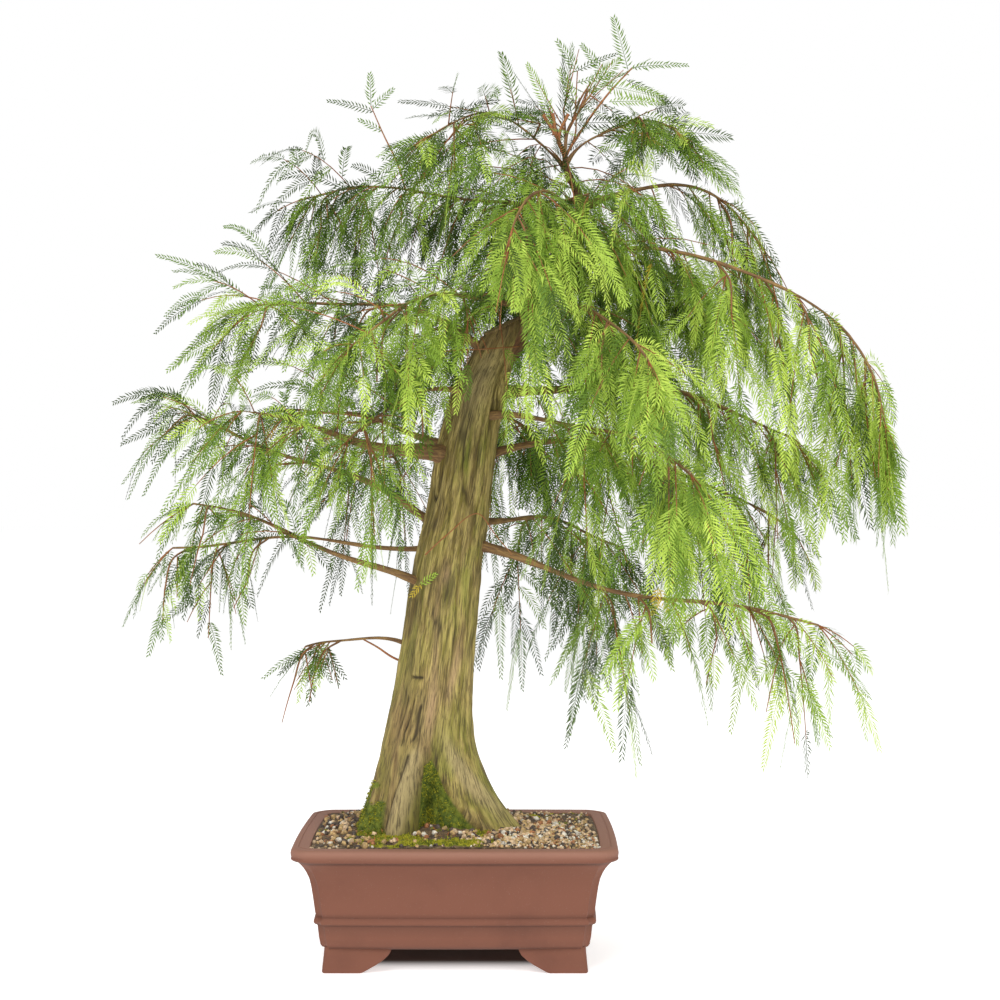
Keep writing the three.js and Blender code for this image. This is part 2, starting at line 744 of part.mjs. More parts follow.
function massSolid(limb, crown) {
  const { twigs, sprays } = growMass(limb, crown);
  const stem = solidOf(tube(limb.stem, stemRadii(limb), TWIG_SIDES));
  const twigSolids = twigs.map((route) => (
    solidOf(tube(route, TWIG_RADII.slice(0, route.length), TWIG_SIDES))
  ));
  const spraySolids = sprays.map((spray) => {
    const geometry = sprayGeometry(spray.length, spray.width);
    geometry.applyMatrix4(placeSpray(spray));
    return solidOf(geometry);
  });
  return largestBody(joined([stem, ...twigSolids, ...spraySolids]));
}

// The limbs as they lie in the wood, and all the wood that foliage keeps clear of
function readCrown() {
  const limbs = readLimbs();
  const trunkRows = TRUNK.slice(0, -1);
  const wood = [
    {
      route: trunkRows.map(([z, x, y]) => new Vector3(x, y, z)),
      radii: trunkRows.map(([, , , width]) => width / 2),
    },
    {
      route: LEADER.map(([x, y, z]) => new Vector3(x, y, z)),
      radii: LEADER.map(([, , , girth]) => girth / 2),
    },
  ];
  for (const limb of limbs) {
    const onLeader = limb.height > LEADER[1][2];
    limb.inWood = onLeader ? LEADER_INSIDE : readTable(TRUNK, limb.height)[3] / 2;
    if (limb.bough.length) wood.push({ route: limb.bough, radii: boughRadii(limb) });
  }
  return { limbs, wood };
}

// Assembly

function piece(name, solid, finish) {
  const material = new THREE.MeshStandardMaterial({ ...FINISHES[finish] });
  const mesh = new THREE.Mesh(geometryOf(solid), material);
  mesh.name = name;
  return mesh;
}

function bonsai() {
  const plant = new THREE.Group();
  const crown = readCrown();
  const room = trunkSolid(GAP);
  plant.add(piece('pot', potSolid(), 'pot'));
  plant.add(piece('soil', largestBody(soilSolid().subtract(room)), 'soil'));
  plant.add(piece('trunk', trunkSolid(0), 'bark'));
  for (const limb of crown.limbs) {
    if (limb.bough.length) {
      const bough = solidOf(tube(limb.bough, boughRadii(limb), BOUGH_SIDES));
      plant.add(piece(`bough_${limb.name}`, largestBody(bough.subtract(room)), 'bark'));
    }
    plant.add(piece(`foliage_${limb.name}`, massSolid(limb, crown), 'foliage'));
  }
  // The origin lies under the middle of the whole plant, on the ground
  const box = new THREE.Box3().setFromObject(plant);
  plant.position.set(-(box.min.x + box.max.x) / 2, -(box.min.y + box.max.y) / 2, 0);
  return plant;
}

export default bonsai();
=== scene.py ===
# A bald cypress grown as a bonsai, in a rectangular clay pot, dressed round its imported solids.
# The limbs and the foliage grow by the same rule as the solids do, in millimetres from the middle
# of the pot on the ground. Every mesh is in metres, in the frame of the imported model.

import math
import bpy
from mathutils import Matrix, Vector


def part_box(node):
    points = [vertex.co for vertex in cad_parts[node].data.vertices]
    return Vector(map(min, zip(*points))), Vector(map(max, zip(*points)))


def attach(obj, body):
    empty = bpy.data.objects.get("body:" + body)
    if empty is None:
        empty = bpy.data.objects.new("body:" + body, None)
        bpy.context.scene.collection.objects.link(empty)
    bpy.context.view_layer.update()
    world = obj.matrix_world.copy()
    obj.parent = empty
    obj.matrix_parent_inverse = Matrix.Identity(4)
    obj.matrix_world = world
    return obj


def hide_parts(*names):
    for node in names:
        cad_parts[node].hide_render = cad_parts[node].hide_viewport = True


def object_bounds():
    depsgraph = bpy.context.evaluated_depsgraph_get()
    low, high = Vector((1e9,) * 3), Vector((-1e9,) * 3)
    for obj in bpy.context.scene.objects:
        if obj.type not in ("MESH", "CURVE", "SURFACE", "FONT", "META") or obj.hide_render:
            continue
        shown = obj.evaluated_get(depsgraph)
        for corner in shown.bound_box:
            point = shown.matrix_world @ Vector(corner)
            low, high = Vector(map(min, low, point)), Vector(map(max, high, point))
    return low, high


bl_info = {
    "name": "Bald Cypress Bonsai",
    "version": (1, 0, 0),
    "blender": (4, 5, 0),
    "location": "View3D > Sidebar > Bonsai",
    "description": "Builds the bark, foliage, pot and soil of a bald cypress bonsai",
    "category": "Object",
}

from types import SimpleNamespace

import bmesh
import bpy
import numpy as np
from mathutils import Vector

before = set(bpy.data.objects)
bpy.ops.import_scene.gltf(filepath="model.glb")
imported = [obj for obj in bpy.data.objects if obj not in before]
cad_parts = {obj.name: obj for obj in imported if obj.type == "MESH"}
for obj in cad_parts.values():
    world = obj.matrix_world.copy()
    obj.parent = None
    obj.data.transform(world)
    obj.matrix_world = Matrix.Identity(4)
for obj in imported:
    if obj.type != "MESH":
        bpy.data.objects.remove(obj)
cad_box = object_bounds()

MM = 0.001
CAMERA_ACROSS = 50
CAMERA_AWAY = 2100
CAMERA_HEIGHT = 525
POT_LOW, POT_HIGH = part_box("pot")
POT_MIDDLE = np.array([(POT_LOW.x + POT_HIGH.x) / 2, (POT_LOW.y + POT_HIGH.y) / 2, 0.0])
BODY = "root"

# Clay pot
POT_HALF_LENGTH = (POT_HIGH.x - POT_LOW.x) / 2 / MM
POT_HALF_DEPTH = (POT_HIGH.y - POT_LOW.y) / 2 / MM
POT_HEIGHT = POT_HIGH.z / MM
SIDE_BOW = 3
CORNER_SEGMENTS = 6
SIDE_CUTS = 9
SCOOP = (8, 0.12)  # size and bevel profile of a corner: scooped, canted or round
CANT = (19, 0.4)
ROUND = (11, 0.5)
# Outside from the underside up, over the rim and down the inside: height, inset, corner
POT_RINGS = (
    (27, 34.5, SCOOP),
    (28.2, 32.6, SCOOP),
    (31, 30.8, SCOOP),
    (40, 29.2, SCOOP),
    (52.8, 27.9, SCOOP),
    (54, 27.1, SCOOP),
    (54.8, 25.5, SCOOP),
    (56.4, 24.2, SCOOP),
    (58.4, 23.8, SCOOP),
    (60.4, 24.4, SCOOP),
    (61.8, 25.8, SCOOP),
    (62.8, 26.6, SCOOP),
    (68, 25.4, SCOOP),
    (84, 23.4, SCOOP),
    (98, 21.4, SCOOP),
    (107, 19.4, SCOOP),
    (114, 16.6, SCOOP),
    (119, 13.8, (9, 0.2)),
    (123, 10.4, (12, 0.3)),
    (126, 7.2, (15, 0.35)),
    (127.2, 4.4, CANT),
    (127.8, 2.2, CANT),
    (129, 0.7, CANT),
    (130.6, 0.2, CANT),
    (132, 0.7, CANT),
    (133.4, 0.4, CANT),
    (137, 0, CANT),
    (139.6, 0.5, CANT),
    (141.2, 1.9, CANT),
    (142, 4.2, CANT),
    (141.9, 7.2, CANT),
    (141.1, 7.9, CANT),
    (141.2, 8.8, CANT),
    (141.8, 9.4, CANT),
    (141.7, 13, (15, 0.45)),
    (141.5, 17.6, ROUND),
    (140.8, 19.4, ROUND),
    (139, 20.2, ROUND),
    (132, 21, ROUND),
    (111, 36, ROUND),
    (37, 42, ROUND),
)
FOOT_LENGTH = 75
FOOT_DEPTH = 54
FOOT_SOLE = 0.58  # share of the length left at the sole
FOOT_FLARE = 2.5
FOOT_CHAMFER = 6
FOOT_INSET = 37.5  # of its outer corner, where it meets the pot
FOOT_TOP = 29
FOOT_LEVELS = (25, 20, 14, 9, 4, 1.5, 0)
FOOT_SOFTNESS = 1  # how far the edge of the sole is rounded in
UNDERSIDE = 27
# Painted shade in lines round the outside, under the rim, on both sides of the bead and low on the
# wall: height, spread, share
GROOVE_SHADE_LINES = ((54, 0.9, 0.6), (62.8, 0.6, 0.35), (126.6, 1.2, 0.75), (28, 1.5, 0.5))
WALL_INSET = 36  # how far in the outside of the pot reaches
LIP_LOW = POT_HEIGHT - 13  # from here up the clay turns to the colour of the lip
LIP_HIGH = POT_HEIGHT - 2
DRAIN_RADIUS = 12
DRAIN_SPACING = 150
DRAIN_SIDES = 32
DRAIN_MIDDLE = UNDERSIDE + 5
DRAIN_DEPTH = 3 * UNDERSIDE

# Soil: level at the wall, mounded round the trunk, and highest behind it on the left
SOIL_AT_WALL = 139
SOIL_BED = 124
MOUND = (12, 0, 0, 75)  # rise, middle across and in depth, spread
BANK = (20, -75, 40, 38)
SOIL_INSET = 20.4
SOIL_GRID = (170, 120)

# Trunk: height, centre across, centre in depth, width of the wood between the root ridges
TRUNK = np.array([
    (138, -38, 2, 106),
    (196, -37, 1, 101),
    (246, -35, 0, 94),
    (321, -26, -1, 87),
    (389, -18, 0, 84),
    (455, -10, 3, 79),
    (505, 0, 6, 73),
    (556, 7, 7, 69),
    (606, 14, 8, 67),
    (657, 25, 9, 60),
    (696, 43, 10, 51),
    (741, 60, 12, 42),
], float)
TRUNK_FLATNESS = 0.92  # depth of the trunk over its width
# Root ridges and the cleft between them: bearing, reach at the ground, half spread, rise
ROOT_RIDGES = (
    (350, 64, 20, 60),
    (314, 22, 16, 62),
    (250, 27, 13, 112),
    (198, 29, 22, 68),
    (132, 30, 24, 50),
    (62, 34, 22, 50),
    (280, -26, 14, 88),
)
FLUTES = 5
FLUTE_DEPTH = 0.025
FLUTE_TWIST = 90
ROOT_FALL = 1.25
CUT_CENTRE = (48, 10, 726)
CUT_SLOPE_ACROSS = 0.52
CUT_SLOPE_BACK = 0.23
# The live leader that goes on from the cut: across, depth, height, girth
LEADER = np.array([
    (46, 14, 686, 30),
    (79, 17, 728, 22),
    (104, 20, 764, 19),
    (121, 22, 795, 17),
    (140, 24, 832, 15),
    (147, 22, 857, 13),
    (141, 20, 886, 11),
    (128, 17, 914, 9),
    (126, 16, 931, 7),
], float)
LEADER_INSIDE = 8

# Limbs
LIMB_STEPS = 11
KINK = 7
KINK_RISE = (2.1, 9)
KINK_BEARING = (1.3, 7)
COLLAR = 0.4
COLLAR_LENGTH = 18
STEM_START_GIRTH = 0.5
STEM_TIP_GIRTH = 2.4
GAP = 0.3
TIP_GAP = 3 * GAP
LIMB_FIELDS = (
    "name", "height", "bearing", "rise", "fall", "sweep",
    "bare", "reach", "girth", "weep", "spray_scale",
)
LIMBS = (
    ("left_spur", 336, 186, 34, 56, 0, 112, 160, 5, 0.5, 0.5),
    ("left_lower", 412, 197, 27, 12, -4, 170, 312, 9, 0.75, 0.8),
    ("left_slender", 469, 176, 6, 10, 4, 200, 330, 6, 0.8, 0.7),
    ("left_middle", 482, 160, 27, 10, 4, 185, 370, 10, 0.75, 0.85),
    ("left_heavy", 572, 210, 8, -6, -4, 120, 280, 20, 0.7, 0.85),
    ("left_upper", 584, 146, 20, 14, 0, 100, 260, 11, 0.7, 1),
    ("left_high", 692, 184, 36, 50, -6, 110, 290, 10, 0.65, 1),
    ("crown_left", 852, 174, 22, 30, 0, 66, 325, 8, 1, 1),
    ("apex_left", 911, 204, 58, 96, 10, 34, 200, 5, 0.35, 0.85),
    ("apex", 931, 20, 84, 40, 0, 0, 80, 7, 0.05, 0.85),
    ("apex_right", 918, 348, 60, 90, 0, 34, 150, 5, 0.3, 0.75),
    ("crown_right", 868, 4, 36, 94, 4, 76, 255, 8, 0.95, 1),
    ("right_high", 803, 30, 6, 26, -6, 76, 240, 7, 0.85, 1),
    ("right_shoulder", 790, 344, 26, 102, 4, 120, 480, 9, 0.9, 0.9),
    ("right_heavy", 650, 5, 12, 38, -2, 145, 390, 14, 0.85, 1),
    ("right_middle", 571, 14, 14, 54, -8, 150, 430, 10, 0.85, 0.95),
    ("right_low", 479, 346, -16, -8, 4, 150, 435, 12, 0.8, 0.85),
    ("front_left_high", 748, 218, 18, 58, 0, 84, 275, 9, 0.75, 1),
    ("front_right_high", 736, 302, 16, 66, 6, 66, 245, 8, 0.8, 1),
    ("front_right_middle", 618, 322, 8, 40, 4, 92, 310, 10, 0.85, 0.9),
    ("front_crown", 842, 246, 36, 84, 0, 50, 220, 7, 0.75, 1),
    ("front_left_middle", 646, 226, 8, 50, 0, 76, 215, 8, 0.8, 0.8),
    ("back_left_low", 580, 122, 12, 30, 0, 105, 270, 10, 0.65, 0.85),
    ("back_right_low", 500, 46, 8, 28, 0, 112, 300, 10, 0.8, 0.9),
    ("back_middle", 620, 74, 16, 38, 0, 95, 262, 11, 0.85, 1),
    ("back_right_high", 771, 58, 16, 44, 0, 72, 268, 9, 0.8, 1),
    ("back_left_high", 696, 112, 24, 40, 0, 80, 268, 10, 0.7, 1),
    ("back_crown", 856, 104, 34, 76, 0, 54, 235, 7, 0.7, 1),
)

# Twigs: angles in degrees. A pair of values is the least of a random range and its width.
TWIG_SPACING = 55
FEWEST_TWIGS = 3
TWIG_STEPS = 2
TWIG_RADII = (1.4, 1.17, 0.93)
TWIG_STATION = (0.4, 0.3)
TWIG_LENGTH = 58
TWIG_LENGTH_BY_WEEP = 46
TWIG_LENGTH_RANGE = (0.8, 0.4)
TWIG_SHORTENING = 0.35
TWIG_TURN = (52, 24)
TWIG_LIFT = 14
TWIG_FALL = 30
TWIG_FALL_BY_WEEP = 80
STEEPEST = -85
LAST_STATION = 0.98

# Sprays of needles
SPRAY_LENGTH = 140
SPRAY_WIDTH = 38
SPRAY_THICKNESS = 2.2
SPRAY_TEETH = 2
TOOTH_START = 0.36
TOOTH_STEP = 0.32
TOOTH_ROUNDNESS = 0.6
NOTCH_BACK = 0.03
NOTCH_DEPTH = 0.34
SPRAY_SIZE_RANGE = (0.85, 0.3)
SPRAY_SHRINK = 0.07
SPRAY_SPREAD = 25
SPRAY_SPREAD_STEP = 12
SPRAY_ROLL = 150
HANG_RANGE = (0.6, 0.9)
HANG_LIFT = 0.1
CROWN_MIDDLE = np.array([30.0, 10.0])
FACE_UP = (60, 50)
TIP_TURN = -8
SIDE_TURN = 46
SIDE_AT = 0.3
STEM_TURN = -50
CLEAR_FROM = 0.55
CLEAR_WIDTH = 0.6
TRIES = 9

# The space of a mass
SPACE_MARGIN = 1.6
SPACE_SQUASH = np.array([1.0, 1.0, 0.45])
CORE_DROP = 40
LIMB_MARGIN = 1.2
LOWEST_FOLIAGE = 178

# Even random numbers of the growth rule
RANDOM_FACTOR = 16807
RANDOM_PRIME = 2147483647
FIRST_SEED = 101
SEED_STEP = 37

# Feathers: what the real plant has where a solid spray stands for several
SHOOT_LENGTH = 0.75  # share of the spray's length that carries feathers
SHOOT_GIRTH = (1.7, 0.9)
SIDE_SHOOTS = 1  # further shoots to each spray
SIDE_SHOOT_LENGTH = (0.55, 0.4)
STEM_SHOOT_SPACING = 17
STEM_SHOOT_LENGTH = (72, 78)
SHOOT_CLEARANCE = 6
FEATHERS_PER_SHOOT = 7
FEATHER_SPREAD = (50, 20)  # degrees off the shoot, near its root and near its end
FEATHER_LENGTH = (0.44, 0.5)
TIP_FEATHER = 0.6
TWIG_FEATHER_SPACING = 21
STEM_FEATHER_SPACING = 21
TWIG_FEATHER = (58, 60)
NEEDLE_BEND = 0.16  # of a needle's tip towards the feather's end, as a share of its length
RACHIS_STEPS = 3
INNER_ABOVE = 640  # height from which boughs and leader carry twigs right to the wood
INNER_SPACING = 19
INNER_TWIG = (60, 85)
LEADER_SPACING = 6
LEADER_TWIG = (80, 100)
SPARSE_BELOW = (370, 560)  # heights between which the foliage thickens
SPARSE_ON_LEFT = 95
FULL_BESIDE_TRUNK = (100, 55)  # middle and spread of the low foliage that stays full
TIP_SHOOTS = 3
TIP_SHOOT_LENGTH = (48, 42)
HIGHEST_FEATHER = 1062
SPARSE_ABOVE = (950, 1010)
SPARSE_SHARE = 0.54
LEFT_STRANDS = (-235, 408, 0.4)  # across, height under which few hang, how many fewer
LOWEST_FEATHER = 198
LOWEST_ON_LEFT = 292
OPEN_SHOULDER = (370, 70, 800, 70)  # middle and spread, across and in height, of a thinner part
RACHIS_RADII = (0.5, 0.16)
FEATHER_CLEARANCE = 3
LARGEST_PIECE = 195000  # triangles
BOX_MARGIN = 0.012  # metres past the box of the solids, for the ends of feathers
# Seeds of the draws that the solids do not share
SEEDS = {
    "gravel": 7, "moss": 11, "litter": 17, "leader": 23, "thinning": 29, "front": 31,
    "tints": 5,
}
DOWN = np.array([0.0, 0.0, -1.0])
FRONT = np.array([0.0, 1.0, -0.2])


# Placing and joining

def to_frame(points):
    """Millimetres from the middle of the pot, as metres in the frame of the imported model"""
    return np.asarray(points, float) * MM + POT_MIDDLE


def clear_selection():
    if bpy.context.mode != "OBJECT":
        bpy.ops.object.mode_set(mode="OBJECT")
    bpy.ops.object.select_all(action="DESELECT")


def choose(piece):
    clear_selection()
    piece.select_set(True)
    bpy.context.view_layer.objects.active = piece


def edit(piece, action="DESELECT"):
    choose(piece)
    bpy.ops.object.mode_set(mode="EDIT")
    bpy.ops.mesh.select_all(action=action)


def select_where(piece, kind, test):
    """In edit mode, selects only those verts, edges or faces that pass a test"""
    bpy.ops.mesh.select_all(action="DESELECT")
    mesh = bmesh.from_edit_mesh(piece.data)
    mesh.verts.index_update()
    for element in getattr(mesh, kind):
        if test(element):
            element.select = True
    bmesh.update_edit_mesh(piece.data)


def close_edit():
    """Turns the faces of the mesh outwards and leaves edit mode"""
    bpy.ops.mesh.select_all(action="SELECT")
    bpy.ops.mesh.normals_make_consistent(inside=False)
    bpy.ops.object.mode_set(mode="OBJECT")


def settle(piece):
    """Moves a piece's place into its mesh"""
    choose(piece)
    bpy.ops.object.transform_apply(location=True, rotation=True, scale=True)


def smooth_to(piece, degrees):
    choose(piece)
    bpy.ops.object.shade_smooth_by_angle(angle=math.radians(degrees))


def apply_boolean(piece, other, operation):
    settle(other)
    modifier = piece.modifiers.new("Boolean", "BOOLEAN")
    modifier.object = other
    modifier.operation = operation
    modifier.solver = "EXACT"
    choose(piece)
    bpy.ops.object.modifier_apply(modifier=modifier.name)
    bpy.data.objects.remove(other)


def name_piece(piece, name):
    piece.name = name
    piece.data.name = name
    return piece


def dress(piece, material, nodes=()):
    """Gives a finished piece its material, its body and the solids that it stands for"""
    piece.data.materials.clear()
    piece.data.materials.append(material)
    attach(piece, BODY)
    if nodes:
        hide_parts(*nodes)


def mesh_piece(name, points, faces, smooth=False, values=None):
    """A mesh of triangles from arrays, in millimetres, with any values that its points carry"""
    mesh = bpy.data.meshes.new(name)
    mesh.vertices.add(len(points))
    mesh.vertices.foreach_set("co", to_frame(points).astype(np.float32).ravel())
    mesh.loops.add(faces.size)
    mesh.loops.foreach_set("vertex_index", faces.astype(np.int32).ravel())
    mesh.polygons.add(len(faces))
    mesh.polygons.foreach_set("loop_start", np.arange(0, faces.size, 3, dtype=np.int32))
    if smooth:
        mesh.polygons.foreach_set("use_smooth", np.ones(len(faces), bool))
    mesh.update(calc_edges=True)
    piece = bpy.data.objects.new(name, mesh)
    bpy.context.scene.collection.objects.link(piece)
    store_values(piece, values or {})
    return piece


def store_values(piece, values):
    for key, value in values.items():
        is_vector = value.ndim == 2
        kind = "FLOAT_VECTOR" if is_vector else "FLOAT"
        attribute = piece.data.attributes.new(key, kind, "POINT")
        field = "vector" if is_vector else "value"
        attribute.data.foreach_set(field, value.astype(np.float32).ravel())


def read_points(piece):
    points = np.empty(len(piece.data.vertices) * 3, np.float32)
    piece.data.vertices.foreach_get("co", points)
    return (points.reshape(-1, 3).astype(float) - POT_MIDDLE) / MM


def write_points(piece, points):
    piece.data.vertices.foreach_set("co", to_frame(points).astype(np.float32).ravel())
    piece.data.update()


class Batch:
    """Gathers many small meshes of triangles into one"""

    def __init__(self):
        self.points = []
        self.faces = []
        self.values = []
        self.count = 0

    def add(self, points, faces, **values):
        self.points.append(points)
        self.faces.append(faces + self.count)
        self.values.append(values)
        self.count += len(points)

    def add_tube(self, route, radii, sides, relief=None):
        points, faces, grain, height = tube(route, radii, sides, relief)
        self.add(points, faces, grain=grain, relief=height)

    def triangles(self):
        return sum(len(faces) for faces in self.faces)

    def piece(self, name, smooth=False):
        keys = self.values[0]
        values = {key: np.concatenate([row[key] for row in self.values]) for key in keys}
        return mesh_piece(name, np.concatenate(self.points), np.concatenate(self.faces),
                          smooth, values)


# Noise and other measures

HASH_STEPS = (374761393, 668265263, 1440662683, 974634777)
HASH_MIX = 1274126177
HASH_RANGE = 0xFFFFF


def noise(points, seed=0):
    """Smooth noise from -1 to 1 at each point, with a cell to each unit"""
    cell = np.floor(points).astype(np.int64)
    part = points - cell
    ease = part * part * (3 - 2 * part)
    total = np.zeros(len(points))
    for corner in np.ndindex(2, 2, 2):
        key = cell + corner
        mixed = key @ np.array(HASH_STEPS[:3]) + seed * HASH_STEPS[3]
        mixed = (mixed ^ (mixed >> 13)) * HASH_MIX
        mixed = (mixed ^ (mixed >> 16)) & HASH_RANGE
        weight = np.prod(np.where(corner, ease, 1 - ease), axis=1)
        total += weight * (2 * mixed / HASH_RANGE - 1)
    return total


def flat_noise(x, y, cell, seed):
    """Smooth noise over two measures, with cells of one size, or of a size for each"""
    points = np.stack([x, y, 0 * x], axis=-1)
    return noise(points / ([*cell, 1] if isinstance(cell, tuple) else cell), seed)


def within_one(value):
    return np.clip(value, 0, 1)


def bell(value, middle, spread):
    return np.exp(-((value - middle) / spread) ** 2 / 2)


def turn_between(a, b):
    return np.abs((a - b + 180) % 360 - 180)


def bell_round(bearing, middle, spread):
    return bell(turn_between(bearing, middle), 0, spread)


def seeded(name):
    return np.random.default_rng(SEEDS[name])


def drawn(pair, random):
    """An even draw from a least value and the width of its range"""
    return pair[0] + pair[1] * random.uniform()


def hand_of(number):
    """The side that each of a row of twigs, feathers or needles is on, by turns"""
    return 1 if number % 2 == 0 else -1


# The growth rule of the solids

def unit(vector):
    return vector / np.linalg.norm(vector, axis=-1, keepdims=True)


def heading(bearing, pitch):
    b, p = math.radians(bearing), math.radians(pitch)
    return np.array([math.cos(p) * math.cos(b), math.cos(p) * math.sin(b), math.sin(p)])


def row_at(table, key, value):
    """A row between the rows of a table, by the value of its key column"""
    return np.array([np.interp(value, key, column) for column in table.T])


def wood_at(height):
    """Middle of the wood at a height: on the leader above the cut, else on the trunk"""
    if height > LEADER[1, 2]:
        return row_at(LEADER[:, :3], LEADER[:, 2], height)
    row = row_at(TRUNK, TRUNK[:, 0], height)
    return np.array([row[1], row[2], height])


def kink(wave, index, share):
    start, waves = wave
    return KINK * math.sin(index * start + waves * share)


def limb_route(limb, index):
    route = [wood_at(limb.height)]
    step = limb.reach / LIMB_STEPS
    for i in range(LIMB_STEPS):
        share = (i + 0.5) / LIMB_STEPS
        pitch = limb.rise - limb.fall * share + kink(KINK_RISE, index, share)
        bearing = limb.bearing + limb.sweep * share + kink(KINK_BEARING, index, share)
        route.append(route[-1] + step * heading(bearing, pitch))
    return np.array(route)


def stretch(route, start, end):
    """The stretch of a route between two distances from its start"""
    part = []
    gone = 0.0
    for last, here in zip(route[:-1], route[1:]):
        step = np.linalg.norm(here - last)
        if gone + step > start and not part:
            part.append(last + (here - last) * (start - gone) / step)
        if gone + step >= end:
            part.append(last + (here - last) * (end - gone) / step)
            return np.array(part)
        if part:
            part.append(here)
        gone += step
    return np.array(part)


def distances_along(route):
    steps = np.linalg.norm(np.diff(route, axis=0), axis=1)
    return np.concatenate([[0.0], np.cumsum(steps)])


def bough_radius(limb, gone):
    collar = 1 + COLLAR * np.exp(-np.maximum(gone - limb.in_wood, 0) / COLLAR_LENGTH)
    taper = 1 + (STEM_START_GIRTH - 1) * gone / limb.bare
    return limb.girth / 2 * taper * collar


def read_limbs():
    limbs = []
    for index, row in enumerate(LIMBS):
        limb = SimpleNamespace(**dict(zip(LIMB_FIELDS, row)))
        limb.index = index
        limb.route = limb_route(limb, index)
        has_bough = limb.bare > 0
        limb.bough = stretch(limb.route, 0, limb.bare) if has_bough else np.empty((0, 3))
        limb.stem = stretch(limb.route, limb.bare + GAP if has_bough else TIP_GAP, limb.reach)
        limb.core = (limb.stem - [0, 0, CORE_DROP * limb.weep]) * SPACE_SQUASH
        limb.seed = FIRST_SEED + SEED_STEP * index
        on_leader = limb.height > LEADER[1, 2]
        trunk_width = row_at(TRUNK, TRUNK[:, 0], limb.height)[3]
        limb.in_wood = LEADER_INSIDE if on_leader else trunk_width / 2
        limbs.append(limb)
    return limbs


def segments(routes):
    """Starts, ends and first rows of the straight steps of several routes"""
    starts = np.concatenate([route[:-1] for route in routes])
    ends = np.concatenate([route[1:] for route in routes])
    counts = [len(route) - 1 for route in routes]
    return starts, ends, np.concatenate([[0], np.cumsum(counts)[:-1]])


def distances(points, starts, ends):
    """Distance of each point to each step, and the share of the step where it is nearest"""
    along = ends - starts
    away = points[:, None] - starts[None]
    share = np.einsum("kmc,mc->km", away, along) / np.einsum("mc,mc->m", along, along)
    share = within_one(share)
    return np.linalg.norm(away - share[..., None] * along, axis=2), share


class Crown:
    """The limbs, the cores of their masses, and the wood that foliage keeps clear of"""

    def __init__(self):
        self.limbs = read_limbs()
        self.cores = segments([limb.core for limb in self.limbs])
        routes = [TRUNK[:-1, [1, 2, 0]], LEADER[:, :3]]
        radii = [TRUNK[:-1, 3] / 2, LEADER[:, 3] / 2]
        for limb in self.limbs:
            if len(limb.bough):
                routes.append(limb.bough)
                radii.append(bough_radius(limb, distances_along(limb.bough)))
        self.wood = segments(routes)
        self.wood_radii = segments([radius[:, None] for radius in radii])

    def clear_of_wood(self, points):
        """How far each point is from the surface of the nearest limb"""
        starts, ends, _ = self.wood
        distance, share = distances(points, starts, ends)
        first, last, _ = self.wood_radii
        radii = first[:, 0] + (last[:, 0] - first[:, 0]) * share
        return (distance - radii).min(axis=1)

    def is_free(self, points, limb, margin):
        """Whether all the points keep to the space of a mass, clear of every limb"""
        if (points[:, 2] < LOWEST_FOLIAGE).any():
            return False
        starts, ends, first = self.cores
        distance, _ = distances(points * SPACE_SQUASH, starts, ends)
        nearest = np.minimum.reduceat(distance, first, axis=1)
        own = nearest[:, limb.index]
        others = np.delete(nearest, limb.index, axis=1)
        if (others < own[:, None] + 2 * SPACE_MARGIN).any():
            return False
        return bool((self.clear_of_wood(points) > LIMB_MARGIN + margin).all())

    def has_room(self, route, start):
        """Whether a shoot keeps off the limbs from that point on, and off the trunk's front"""
        is_clear = self.clear_of_wood(route[start:]).min() >= SHOOT_CLEARANCE
        return is_clear and not hides_trunk(route).any()


class EvenRandom:
    """Even random numbers from 0 to 1, the same ones for the same seed as in the solids"""

    def __init__(self, seed):
        self.state = seed

    def __call__(self):
        self.state = self.state * RANDOM_FACTOR % RANDOM_PRIME
        return self.state / RANDOM_PRIME

    def within(self, pair):
        return pair[0] + pair[1] * self()


def spray_outline(length, width):
    """Teeth and tip of a spray, without its root, in its own plane"""
    side = []
    for tooth in range(SPRAY_TEETH):
        at = TOOTH_START + TOOTH_STEP * tooth
        half = width / 2 * math.sin(math.pi * at) ** TOOTH_ROUNDNESS
        side.append((at * length, half))
        side.append(((at - NOTCH_BACK) * length, half * NOTCH_DEPTH))
    right = [(x, -y) for x, y in side]
    return np.array([*right, (length, 0.0), *side])


def spray_fits(spray, limb, crown):
    outline = spray_outline(spray.length, spray.width)
    across = np.cross(spray.normal, spray.along)
    points = spray.root + outline[:, :1] * spray.along + outline[:, 1:] * across
    return crown.is_free(points, limb, SPRAY_THICKNESS / 2)


def clear_of_sprays(spray, sprays):
    if not sprays:
        return True
    points = spray.root + np.outer([CLEAR_FROM * spray.length, spray.length], spray.along)
    starts = np.array([other.root for other in sprays])
    ends = np.array([other.root + other.along * other.length for other in sprays])
    return bool((distances(points, starts, ends)[0] > CLEAR_WIDTH * spray.width).all())


def rotated(vector, axis, angle):
    return (vector * math.cos(angle) + np.cross(axis, vector) * math.sin(angle)
            + axis * (axis @ vector) * (1 - math.cos(angle)))


def outward(point, rise):
    """The direction that a spray at a place faces: away from the crown's middle and up"""
    return np.array([*(point[:2] - CROWN_MIDDLE), rise])


def facing(face, along):
    """The part of a direction that is square to a spray or a feather"""
    return unit(face - along * (face @ along))


